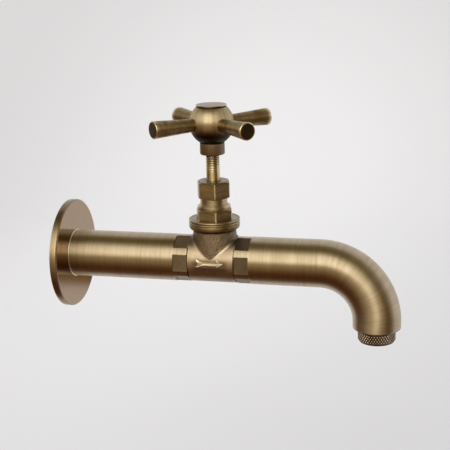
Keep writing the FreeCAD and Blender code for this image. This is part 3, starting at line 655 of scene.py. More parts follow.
@dataclass
class Lathe:
    """Makes pieces that are turned about one axis.

    Attributes:
        shop: Where pieces are finished.
        spot: The point on the axis that distances are counted from.
        along: The axis.
        out: The direction in which an outline's radius is drawn.
        scale: The radius in metres at which scratches have their true length.
        lean: How far the scratches' pattern slides along the axis with the radius.
    """

    shop: Workshop
    spot: Vector
    along: Vector
    out: Vector
    scale: float = 10 * MM
    lean: float = 1.37

    def arm(self, point: Vector) -> Vector:
        """From the axis straight out to a point."""
        away = point - self.spot
        return away - self.along * away.dot(self.along)

    def place(self, point: Vector) -> Corner:
        """Distance along the axis and radius of a point, in millimetres."""
        return (point - self.spot).dot(self.along) / MM, self.arm(point).length / MM

    def seat(self, vert: bmesh.types.BMVert, radius: float) -> None:
        """Moves a vertex to a radius in millimetres, where the axis is upright."""
        arm = self.arm(vert.co).normalized() * radius * MM
        vert.co.x, vert.co.y = self.spot.x + arm.x, arm.y

    def lay(self, point: Vector) -> tuple[Vector, Vector]:
        """How scratches lie at a point.

        Args:
            point: The point.

        Returns:
            Its place in the pattern of the scratches, and the direction round the axis.
        """
        side = self.along.orthogonal().normalized()
        other = self.along.cross(side)
        arm = self.arm(point)
        spoke = arm.normalized() if arm.length > MERGE else side
        return (Vector(((point - self.spot).dot(self.along) + self.lean * arm.length,
                        spoke.dot(side) * self.scale, spoke.dot(other) * self.scale)),
                self.along.cross(spoke))

    def blank(self, outline: Sequence[Corner], steps: int = 128) -> bmesh.types.BMesh:
        """Turns a closed outline.

        Args:
            outline: Corners as (distance along the axis, radius).
            steps: Faces round the full turn.

        Returns:
            The bmesh, with an integer vertex layer that counts the outline's corners.
        """
        bm = bmesh.new()
        station = bm.verts.layers.int.new("station")
        ring = []
        for index, (distance, radius) in enumerate(outline):
            ring.append(bm.verts.new(
                self.spot + self.along * (distance * MM) + self.out * (radius * MM)))
            ring[-1][station] = index
        edges = [bm.edges.new(pair) for pair in zip(ring, ring[1:] + ring[:1])]
        bmesh.ops.spin(bm, geom=ring + edges, cent=self.spot, axis=self.along, angle=TURN,
                       steps=steps, use_merge=True)
        bmesh.ops.remove_doubles(bm, verts=bm.verts, dist=MERGE)
        return bm

    def settle(self, bm: bmesh.types.BMesh, *labels: object, **options: object) -> None:
        """Hands a turned bmesh to the workshop, with the scratches of this axis."""
        self.shop.settle(bm, *labels, mapper=self.lay, **options)

    def piece(self, name: str, outline: Sequence[Corner], body: str, finish: str,
              nodes: Iterable[str], rounding: float, steps: int = 128,
              dirt_and_shade: Callable[[float, float], float] | None = None) -> None:
        """Turns an outline, rounds its edges and finishes it.

        Args:
            name: The piece's name.
            outline: Corners as (distance along the axis, radius).
            body: The body that it rides on.
            finish: Its finish's name.
            nodes: The nodes that it stands for.
            rounding: Width of its rounded edges.
            steps: Faces round the full turn.
            dirt_and_shade: Gives the dirt and painted shade at a distance and a radius.
        """
        bm = self.blank(outline, steps)
        if rounding:
            rounded(bm, rounding)
        if dirt_and_shade:
            paint(bm, "dirt_and_shade", lambda vert: dirt_and_shade(*self.place(vert.co)))
        self.settle(bm, name, body, finish, nodes)


def axis_spot(node: str) -> Vector:
    """Where the upright axis through the middle of a node's box meets the tubes' axis."""
    low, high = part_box(node)
    return Vector((((low + high) / 2).x, 0.0, 0.0))


SPINDLE_SPOT = axis_spot("gland_nut")
SPOUT_SPOT = axis_spot("aerator_ring")
SPINDLE_X = SPINDLE_SPOT.x / MM
WALL_SPOT = Vector((0.0, 0.0, 0.0))
TUBE_RADIUS = half_width("inlet_tube", Z)
TUBE_END = span("inlet_tube", X)[1]


@dataclass
class Assembly:
    """A part of the tap, with its sizes as fields.

    Attributes:
        shop: Where its pieces are finished.
    """

    shop: Workshop

    @property
    def on_tubes(self) -> Lathe:
        """A lathe on the tubes' axis, counted from the wall."""
        return Lathe(self.shop, WALL_SPOT, OUT, UP)

    @property
    def on_spindle(self) -> Lathe:
        """A lathe on the spindle's axis, counted from the tubes' axis."""
        return Lathe(self.shop, SPINDLE_SPOT, UP, OUT)


# ------------------------------------------------------------------ wall plate and tubes


@dataclass
class WallPlate(Assembly):
    """The round plate on the wall, dished behind, with a bead where the tube leaves it.

    Attributes:
        chamfer: Width of the chamfer on its front edge.
        rim: Width of the flat that lies on the wall.
        dish: Depth of the relief behind.
        boss: Width of the boss round the tube behind.
        boss_gap: How far the boss stays off the wall.
        grip: How far the bore reaches into the tube.
        bead: Radius of the bead.
    """

    chamfer: float = 0.7
    rim: float = 4.5
    dish: float = 1.8
    boss: float = 3.0
    boss_gap: float = 0.6
    grip: float = 0.25
    bead: float = 0.35

    def build(self) -> None:
        """Makes the plate and its bead."""
        lathe = self.on_tubes
        outer, thick = half_width("wall_flange", Z), 2 * half_width("wall_flange", X)
        bore = TUBE_RADIUS - self.grip
        inner, hub, front = outer - self.rim, bore + self.boss, outer - self.chamfer
        bm = lathe.blank([
            (0.0, inner), (0.0, outer), (thick - self.chamfer, outer), (thick, front),
            (thick, front - 0.3), (thick, bore + 0.3), (thick, bore), (self.boss_gap, bore),
            (self.boss_gap, hub), (self.dish, hub + self.dish),
            (self.dish, inner - self.dish)], 192)
        rounded(bm, 0.18)
        # The outer rim is painted darker towards its top and bottom.
        paint(bm, "dirt_and_shade", lambda vert: 0.4 * ease(abs(vert.co.z) / MM, outer * 0.6, outer * 0.95)
              * (math.hypot(vert.co.y, vert.co.z) / MM > front - 0.05))
        bm.normal_update()
        for face in bm.faces:
            face.material_index = int(face.normal.x > 0.999)
        labels = "tap_body", "rim_brass", ["wall_flange"]
        lathe.settle(bm, "wall_plate", *labels, second="disc_brass")
        sunk = TUBE_RADIUS - 0.1
        arc = [(thick + self.bead * math.sin(angle), TUBE_RADIUS + self.bead * math.cos(angle))
               for angle in (QUARTER * k / 6 for k in range(7))]
        bm = lathe.blank([(thick - 0.1, sunk), (thick - 0.1, TUBE_RADIUS + self.bead), *arc,
                          (thick + self.bead, sunk)], 160)
        # The bead is painted bright all round: a painted highlight along the joint.
        paint(bm, "wear_and_sheen", lambda vert: 0.9)
        lathe.settle(bm, "joint_bead", *labels)


@dataclass
class Tubes(Assembly):
    """The straight inlet tube and the bent spout.

    Attributes:
        wall: Thickness of the tubes.
        bend: Radius of the spout's bend at its middle line.
        lip: Rounding of the spout's lower edge.
        round_steps: Faces round a tube.
        bend_steps: Faces along the bend.
    """

    wall: float = 1.5
    bend: float = 33.0
    lip: float = 0.6
    round_steps: int = 128
    bend_steps: int = 48

    def build(self) -> None:
        """Makes the straight tube, then the spout: a run, a quarter bend and a short drop."""
        inside = TUBE_RADIUS - self.wall
        self.on_tubes.piece(
            "inlet_tube_skin", [(0.0, TUBE_RADIUS), (TUBE_END, TUBE_RADIUS), (TUBE_END, inside),
                                (0.0, inside)],
            "tap_body", "satin_brass", ["inlet_tube"], rounding=0.12, steps=self.round_steps)
        low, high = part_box("spout_tube")
        outer, bend = TUBE_RADIUS * MM, self.bend * MM
        pivot = Vector((high.x - outer - bend, 0.0, -bend))
        bm = bmesh.new()
        skins = [self._sweep(bm, radius, low, pivot) for radius in (outer, outer - self.wall * MM)]
        for first, second in zip(*skins):
            bmesh.ops.bridge_loops(bm, edges=first + second)
        rolled(bm, [edge for edge in skins[0][1] if edge.is_valid], self.lip, 5)
        self.shop.settle(bm, "spout_tube_skin", "tap_body", "satin_brass", ["spout_tube"],
                         self._mapper(pivot, outer))

    def _sweep(self, bm: bmesh.types.BMesh, radius: float, low: Vector,
               pivot: Vector) -> tuple[Edges, Edges]:
        """Sweeps a circle along the spout.

        Args:
            bm: The bmesh to add to.
            radius: The circle's radius in metres.
            low: The spout's least X and Z.
            pivot: The centre of the bend.

        Returns:
            The edges of the first and of the last circle.
        """
        made = bmesh.ops.create_circle(
            bm, cap_ends=False, segments=self.round_steps, radius=radius,
            matrix=Matrix.Translation((low.x, 0.0, 0.0)) @ Matrix.Rotation(QUARTER, 4, "Y"))
        first = list({edge for vert in made["verts"] for edge in vert.link_edges})
        run = drawn(bm, first, OUT * (pivot.x - low.x))
        bent = bmesh.ops.spin(
            bm, geom=run + list({v for e in run for v in e.verts}), cent=pivot,
            axis=(0.0, 1.0, 0.0), angle=QUARTER, steps=self.bend_steps, use_merge=False)
        ring = [item for item in bent["geom_last"] if isinstance(item, bmesh.types.BMEdge)]
        return first, drawn(bm, ring, UP * (low.z - pivot.z))

    @staticmethod
    def _mapper(pivot: Vector, scale: float) -> Mapper:
        """Lay of the spout as if it were straight.

        Args:
            pivot: The centre of the bend.
            scale: The tube's radius.

        Returns:
            A function from a point to its lay and its direction round the tube.
        """
        bend = -pivot.z

        def mapped(point: Vector) -> tuple[Vector, Vector]:
            """Lay and direction at one point.

            Args:
                point: The point.

            Returns:
                Its lay, and the direction round the tube.
            """
            if point.x <= pivot.x:
                length, lifted, out = point.x, point.z, UP
            elif point.z < pivot.z:
                length = pivot.x + bend * QUARTER + pivot.z - point.z
                lifted, out = point.x - pivot.x - bend, OUT
            else:
                arm = Vector((point.x - pivot.x, 0.0, point.z - pivot.z))
                length = pivot.x + bend * math.atan2(arm.x, arm.z)
                lifted, out = arm.length - bend, arm.normalized()
            angle = math.atan2(point.y, lifted)
            lay = Vector((length, math.cos(angle) * scale, math.sin(angle) * scale))
            return lay, Vector((0.0, 1.0, 0.0)) * math.cos(angle) - out * math.sin(angle)

        return mapped


# ------------------------------------------------------------------ valve casting


def ramp(value: np.ndarray, low: float, high: float) -> np.ndarray:
    """Rises evenly from 0 at low to 1 at high, or falls where low is above high."""
    return np.clip((value - low) / (high - low), 0, 1)


@dataclass
class SkinPoints:
    """The points of the casting's skin, as arrays.

    Attributes:
        across: Distance from the spindle's axis along the tubes.
        angle: Angle round the tubes' axis, from the top.
        ends: Whether a point belongs to a spanner end.
        radius: Distance from the tubes' axis.
        above: Distance above the V's line.
    """

    across: np.ndarray
    angle: np.ndarray
    ends: np.ndarray
    radius: np.ndarray | None = None
    above: np.ndarray | None = None

    @property
    def rise(self) -> np.ndarray:
        """Height above the tubes' axis."""
        return self.radius * np.cos(self.angle)


@dataclass
class ValveCasting(Assembly):
    """The globe valve casting: spanner ends, barrel, neck with its V, and collar.

    Attributes:
        barrel: Radius of the barrel.
        tube: Radius of the tubes, and of the spanner ends' corners.
        flats: Half the width across a spanner end's flats.
        end: Length of a spanner end.
        groove_width: Width of the turned groove beside a spanner end.
        groove_depth: Its depth.
        groove_lip: Width of its slanting walls.
        plain_top: Degrees to either side of the top where the groove stops.
        neck_foot: Radius of the neck at its foot.
        neck_top: Radius of the neck below the collar.
        foot_height: Height of the neck's foot above the tubes' axis.
        root_height: Height where the collar starts.
        saddle: Radius of the fillet between barrel and neck.
        recess: Depth of the V face behind its edge.
        pocket_play: Room round and below the jumper in the neck.
        steps: Faces round the barrel.
        pitch: Spacing of the mesh along the barrel.
    """

    barrel: float = 13.65
    tube: float = 14.0
    flats: float = 13.0
    end: float = 8.6
    groove_width: float = 0.6
    groove_depth: float = 0.5
    groove_lip: float = 0.12
    plain_top: float = 50.0
    neck_foot: float = 13.35
    neck_top: float = 12.65
    foot_height: float = 2.3
    root_height: float = 18.6
    saddle: float = 2.6
    recess: float = 0.3
    pocket_play: Corner = (0.7, 0.8)
    steps: int = 384
    pitch: float = 0.25

    @property
    def half(self) -> float:
        """Half the casting's length."""
        return SPINDLE_X - TUBE_END

    def build(self) -> None:
        """Makes the casting's skin, its collar and its arrow."""
        self._skin()
        self._collar()
        FlowArrow(self.shop, self.barrel).build()

    def _skin(self) -> None:
        """Barrel, spanner ends and neck as one skin, drawn out from the tubes' axis."""
        places = self._stations()
        bm = bmesh.new()
        station = bm.verts.layers.int.new("station")
        dirt_and_shade = bm.verts.layers.float.new("dirt_and_shade")
        rough = bm.verts.layers.float.new("rough")
        line = []
        for index, (x, _) in enumerate(places):
            line.append(bm.verts.new(((SPINDLE_X + x) * MM, 0.0, self.barrel * MM)))
            line[-1][station] = index
        edges = [bm.edges.new(pair) for pair in zip(line, line[1:])]
        bmesh.ops.spin(bm, geom=line + edges, cent=(0, 0, 0), axis=OUT, angle=TURN,
                       steps=self.steps, use_merge=True)
        verts = list(bm.verts)
        kinds = [places[vert[station]] for vert in verts]
        skin = SkinPoints(np.array([across for across, _ in kinds]),
                          np.array([math.atan2(vert.co.y, vert.co.z) for vert in verts]),
                          np.array([end for _, end in kinds]))
        middle = self._middle_radius(skin)
        skin.above = self._above_line(skin.across, middle * np.sin(skin.angle),
                                      middle * np.cos(skin.angle))
        middle = self._grooved(skin, middle - self.recess * ramp(skin.above, 0, 0.25))
        skin.radius = np.where(skin.ends, self._end_radius(skin.angle), middle)
        dirt_and_shade_share = self._dirt_and_painted_shade(skin)
        for index, vert in enumerate(verts):
            reach = skin.radius[index] * MM
            vert.co.y = reach * math.sin(skin.angle[index])
            vert.co.z = reach * math.cos(skin.angle[index])
            vert[dirt_and_shade] = dirt_and_shade_share[index]
            vert[rough] = 0.25 if skin.ends[index] else ease(skin.above[index], 0.0, 0.5)
        for face in bm.faces:
            face.material_index = int(all(
                places[vert[station]][1]
                and math.hypot(vert.co.y, vert.co.z) > (self.tube - 0.01) * MM
                for vert in face.verts))
        for side in (0, len(places) - 1):
            rim = {vert for vert in verts if vert[station] == side}
            bmesh.ops.edgeloop_fill(bm, edges=list({
                edge for vert in rim for edge in vert.link_edges if edge.other_vert(vert) in rim}))
        self._pocket(bm)
        self.shop.settle(bm, "valve_casting", "tap_body", "cast_brass", ["valve_body"],
                         self.on_tubes.lay, crease=30.0, second="satin_brass")

    def _pocket(self, bm: bmesh.types.BMesh) -> None:
        """Opens the neck from above, so that the jumper has room to rise.

        Args:
            bm: The casting's skin.
        """
        reach = (half_width("jumper") + self.pocket_play[0]) * MM
        floor = (span("washer_nut")[0] - self.pocket_play[1]) * MM
        level = (self.root_height - 0.4) * MM

        def within(item: bmesh.types.BMFace | bmesh.types.BMEdge, radius: float) -> bool:
            """Whether a face or edge of the neck's top lies within a radius of the spindle."""
            return all(vert.co.z > 0 and math.hypot(vert.co.x - SPINDLE_SPOT.x, vert.co.y) < radius
                       for vert in item.verts)

        bmesh.ops.delete(bm, geom=[face for face in bm.faces if within(face, reach)],
                         context="FACES")
        mouth = [edge for edge in bm.edges
                 if edge.is_boundary and within(edge, reach + 0.5 * MM)]
        rim = drawn(bm, mouth, UP * (-0.4 * MM))
        for vert in {v for edge in rim for v in edge.verts}:
            arm = Vector((vert.co.x - SPINDLE_SPOT.x, vert.co.y, 0.0)).normalized() * reach
            vert.co = (SPINDLE_SPOT.x + arm.x, arm.y, level)
        bmesh.ops.edgeloop_fill(bm, edges=drawn(bm, rim, UP * (floor - level)))

    def _dirt_and_painted_shade(self, skin: SkinPoints) -> np.ndarray:
        """Where the skin is painted darker, by dirt and by painted shade: grooves, the V's crease,
        shaded corners, flats, and round the arrow.

        Args:
            skin: The skin's points.

        Returns:
            The darkening at every point, from 0 to 1.
        """
        side, rise, above = np.abs(skin.across), skin.rise, skin.above
        front = np.sin(skin.angle) < 0
        # Painted shade along the V's crease.
        crease_shade = 0.9 * np.exp(-((above - 0.10) / 0.38) ** 2)
        # Painted shadow under the collar, at the top of the neck.
        root = 0.8 * ramp(rise, self.root_height - 1.4, self.root_height)
        # Painted shade high on the sides, where the neck turns away.
        shoulder = 0.7 * ramp(rise, 8.0, 13.0) * ramp(side, 8.0, 11.0) * (above < 0.2)
        # Painted shade just below the middle of the barrel's front.
        under = 0.55 * np.exp(-((rise + 2.9) / 1.9) ** 2) * ramp(side, 12.5, 8.5) * front
        face = 0.16 * ramp(above, 0.0, 0.5)
        # Dirt round the arrow, with painted shade below and beside it.
        past_arrow = np.maximum(np.abs(skin.across + 0.25) - 8.3, 0.0)
        arrow = 0.6 * front * np.exp(-(past_arrow / 2.6) ** 2
                                     - ((rise - FlowArrow.middle + 0.3) / 2.4) ** 2)
        cast = np.maximum.reduce([crease_shade, root, shoulder, under, face, arrow,
                                  np.full(side.shape, 0.09)])
        # Dirt and painted shade in the turned grooves.
        groove = ~skin.ends & (skin.radius < self.barrel - 0.2)
        groove &= side > self.half - self.end - 1.0
        flat = skin.ends & (skin.radius < self.tube - 0.05)
        # Flats painted darker, more on the +X end, and a painted shadow at the step where a flat
        # meets the tube.
        return np.maximum.reduce([
            np.where(skin.ends, 0.0, cast), 0.9 * groove, 0.9 * (flat & (side > self.half - 0.1)),
            flat * np.where(skin.across > 0, 0.62, 0.48)])

    def _stations(self) -> list[tuple[float, bool]]:
        """Places of the skin's rings along the barrel.

        Returns:
            Distances from the spindle's axis, with whether each belongs to a spanner end.
        """
        inner = self.half - self.end
        groove, lip = inner - self.groove_width, self.groove_lip
        left = [(-self.half, True), (-self.half + 0.35, True), (-(self.half + inner) / 2, True),
                (-inner, True), (-inner + 0.01, False), (-inner + lip, False),
                (-groove - lip, False), (-groove, False)]
        length = 2 * groove - 2 * lip
        count = round(2 * (groove - lip) / self.pitch)
        middle = [(-groove + lip + length * k / count, False) for k in range(count + 1)]
        return left + middle + [(-x, kind) for x, kind in reversed(left)]

    def _end_radius(self, angle: np.ndarray) -> np.ndarray:
        """Radius of a spanner end: six flats on a bar as wide as the tube."""
        return np.minimum(self.tube, self.flats / np.cos(np.mod(angle, SIXTH) - SIXTH / 2))

    def _middle_radius(self, skin: SkinPoints) -> np.ndarray:
        """Radius of barrel, neck and saddles, found by halving.

        Args:
            skin: The skin's points.

        Returns:
            The radius at every point.
        """
        low = np.full(skin.across.shape, self.barrel)
        high = np.full(skin.across.shape, 40.0)
        for _ in range(22):
            middle = (low + high) / 2
            inside = self._inside(skin.across, middle * np.sin(skin.angle),
                                  middle * np.cos(skin.angle))
            low, high = np.where(inside, middle, low), np.where(inside, high, middle)
        return (low + high) / 2

    def _grooved(self, skin: SkinPoints, radius: np.ndarray) -> np.ndarray:
        """Cuts the turned groove beside each spanner end, which the top lacks.

        Args:
            skin: The skin's points.
            radius: Their radius without the groove.

        Returns:
            Their radius with the groove.
        """
        inner, side = self.half - self.end, np.abs(skin.across)
        cut = (side > inner - self.groove_width + 0.001) & (side < inner)
        plain = np.abs(np.degrees(skin.angle)) < self.plain_top
        return np.where(cut & ~plain, self.barrel - self.groove_depth, radius)

    def _neck_radius(self, height: np.ndarray) -> np.ndarray:
        """Radius of the cast neck at a height."""
        share = ramp(height, self.foot_height, self.root_height)
        return self.neck_foot + (self.neck_top - self.neck_foot) * share

    def _ball_path(self) -> np.ndarray:
        """Path of the ball that rolls between barrel and neck.

        Returns:
            The ball's centres in one quarter, as rows of X, Y and Z.
        """
        reach = self.neck_foot + self.saddle
        for _ in range(20):
            level = math.sqrt((self.barrel + self.saddle) ** 2 - reach ** 2)
            reach = float(self._neck_radius(np.array(level))) + self.saddle
        y = reach * np.sin(np.linspace(0.0, QUARTER, 160))
        z = np.sqrt((self.barrel + self.saddle) ** 2 - y ** 2)
        ring = self._neck_radius(z) + self.saddle
        return np.stack([np.sqrt(np.maximum(ring ** 2 - y ** 2, 0.0)), y, z], axis=1)

    def _inside(self, x: np.ndarray, y: np.ndarray, z: np.ndarray) -> np.ndarray:
        """Whether points lie in the casting: in a body, or behind the rolling ball.

        Args:
            x: Their distances from the spindle's axis along the tubes.
            y: Their distances across.
            z: Their heights.

        Returns:
            True for every point inside.
        """
        below = (z > 0) & (z < self.root_height + 0.6)
        to_barrel = np.hypot(y, z) - self.barrel
        to_neck = np.where(z > 0, np.hypot(x, y) - self._neck_radius(z), 99.0)
        body = (to_barrel <= 0) | ((to_neck <= 0) & below)
        near = below & (to_barrel < self.saddle) & (to_neck < self.saddle) & ~body
        points = np.stack([np.abs(x[near]), np.abs(y[near]), z[near]], axis=1)
        if len(points):
            gaps = ((points[:, None, :] - self._ball_path()[None, :, :]) ** 2).sum(axis=2)
            behind = gaps.min(axis=1) >= self.saddle ** 2
            body[near] = behind & ~self._free(points)
        return body

    def _free(self, points: np.ndarray) -> np.ndarray:
        """Finds the points that the ball reaches while it lies on one body alone.

        Args:
            points: The points as rows of X, Y and Z.

        Returns:
            True for every point that it reaches.
        """
        x, y, z = points.T
        up = (self.barrel + self.saddle) / np.hypot(y, z)
        clear_neck = np.hypot(x, y * up) - self._neck_radius(z * up) >= self.saddle
        side = (self._neck_radius(z) + self.saddle) / np.hypot(x, y)
        return clear_neck | (np.hypot(y * side, z) - self.barrel >= self.saddle)

    def _above_line(self, across: np.ndarray, y: np.ndarray, z: np.ndarray) -> np.ndarray:
        """Distance above the V's line, which is where the ball touches the neck.

        Args:
            across: Distances from the spindle's axis along the tubes.
            y: Distances across.
            z: Heights.

        Returns:
            The distances, negative below the line.
        """
        path = self._ball_path()
        touch = np.arctan2(path[:, 0], path[:, 1])
        order = np.argsort(touch)
        touch, height = touch[order], path[order, 2]
        slope = np.gradient(height, touch * self.neck_foot)
        turn = np.arctan2(np.abs(across), np.abs(y))
        line, steep = np.interp(turn, touch, height), np.interp(turn, touch, slope)
        return np.where(z > 0, (z - line) / np.sqrt(1 + steep ** 2), -99.0)

    def _collar(self) -> None:
        """Grooved collar on top of the neck."""
        foot, top, radius = self.root_height, span("valve_body")[1], half_width("bonnet")
        outline = [
            (foot - 0.4, 9.0), (foot - 0.4, self.neck_top - 0.1), (foot, self.neck_top + 0.1),
            (foot + 0.55, radius - 1.3), (foot + 0.75, radius - 0.55), (foot + 1.5, radius - 0.12),
            (top - 2.3, radius), (top - 1.45, radius), (top - 1.1, radius - 0.38),
            (top - 0.78, radius - 0.05), (top - 0.3, radius), (top, radius - 0.3), (top, 9.0)]
        # Painted shadow in the undercut at the collar's foot.
        self.on_spindle.piece(
            "valve_collar", outline, "tap_body", "turned_brass", ["valve_body"], rounding=0.08,
            steps=160, dirt_and_shade=lambda height, _: 0.9 * ease(height, foot + 1.3, foot + 0.5))


@dataclass
class FlowArrow(Assembly):
    """The cast arrow on the barrel's front that shows the way of the water.

    Attributes:
        barrel: Radius of the barrel.
        tail: Distance of its tail from the wall.
        tip: Distance of its tip from the wall.
        head: Length of the head.
        barb: How far the head's back slants.
        feather: Length of the feathers.
        notch: Depth of their slant.
        middle: Height of the shaft's middle above the tubes' axis.
        shaft: Half the height of the shaft.
        wing: Half the height of the head.
        sunk: How deep its foot lies in the barrel.
        relief: How far it stands out.
        border: Width of the rubbed border, which stands higher than the inside.
        hollow: How much higher.
    """

    barrel: float
    tail: float = 83.8
    tip: float = 100.1
    head: float = 4.0
    barb: float = 0.9
    feather: float = 4.6
    notch: float = 1.5
    middle: float = 0.75
    shaft: float = 0.8
    wing: float = 2.1
    sunk: float = 0.5
    relief: float = 0.55
    border: float = 0.34
    hollow: float = 0.12

    def build(self) -> None:
        """Makes the arrow: a flat outline, raised, then bent to the barrel."""
        neck, notch = self.tip - self.head, self.tail + self.notch
        half = [(self.tip, 0.0), (neck, self.wing), (neck + self.barb, self.shaft),
                (self.tail + self.feather, self.shaft), (notch, self.wing),
                (self.tail, self.wing), (notch, 0.0)]
        outline = half + [(x, -z) for x, z in reversed(half[1:-1])]
        bm = bmesh.new()
        bm.faces.new([bm.verts.new((x * MM, 0.0, (self.middle + z) * MM)) for x, z in outline])
        for k in range(-5, 6):
            bmesh.ops.bisect_plane(bm, geom=bm.verts[:] + bm.edges[:] + bm.faces[:],
                                   plane_co=UP * ((self.middle + 0.4 * k) * MM), plane_no=UP)
        top = bmesh.ops.extrude_face_region(bm, geom=bm.faces[:])["geom"]
        bmesh.ops.translate(bm, vec=(0.0, -(self.relief + self.sunk) * MM, 0.0),
                            verts=[v for v in top if isinstance(v, bmesh.types.BMVert)])
        bmesh.ops.recalc_face_normals(bm, faces=bm.faces)
        wear_and_sheen = bm.verts.layers.float.new("wear_and_sheen")
        raised = [f for f in bm.faces if all(v.co.y < -0.1 * MM for v in f.verts)]
        for vert in {v for face in raised for v in face.verts}:
            vert[wear_and_sheen] = 1.0
        bmesh.ops.inset_region(bm, faces=raised, thickness=self.border * MM, depth=0.0,
                               use_even_offset=True, use_boundary=True)
        for vert in {v for face in raised if face.is_valid for v in face.verts}:
            vert[wear_and_sheen] = 0.0
            vert.co.y += self.hollow * MM
        for vert in bm.verts:
            angle = vert.co.z / (self.barrel * MM)
            reach = (self.barrel - self.sunk) * MM - vert.co.y
            vert.co.y, vert.co.z = -reach * math.cos(angle), reach * math.sin(angle)
        self.on_tubes.settle(bm, "flow_arrow", "tap_body", "arrow_brass", ["valve_body"],
                                     crease=50.0)


# ------------------------------------------------------------------ bonnet, gland and spindle


def hexagon_radius(flats: float, turn: float, corner: float) -> Callable[[float], float]:
    """Radius of a hexagon with rounded corners at an angle.

    Args:
        flats: Width across its flats.
        turn: Angle of a corner, in degrees.
        corner: Radius of its corners.

    Returns:
        A function from an angle in radians to the radius.
    """
    start = math.radians(turn)
    middle = (flats / 2 - corner) / math.cos(SIXTH / 2)
    edge = math.atan2(middle * math.sin(SIXTH / 2), flats / 2)

    def radius(angle: float) -> float:
        """Radius at one angle.

        Args:
            angle: The angle in radians.

        Returns:
            The radius.
        """
        aside = abs((angle - start) % SIXTH - SIXTH / 2)
        if aside < edge:
            return flats / 2 / math.cos(aside)
        off = SIXTH / 2 - aside
        return middle * math.cos(off) + math.sqrt(corner ** 2 - (middle * math.sin(off)) ** 2)

    return radius


@dataclass
class Station:
    """One ring of a piece that isn't round all the way up.

    Attributes:
        height: Its height.
        limit: Its largest radius.
        hexagonal: Whether the hexagon also limits its radius.
        wear_and_sheen: How bright it is rubbed.
    """

    height: float
    limit: float
    hexagonal: bool = False
    wear_and_sheen: float = 0.0


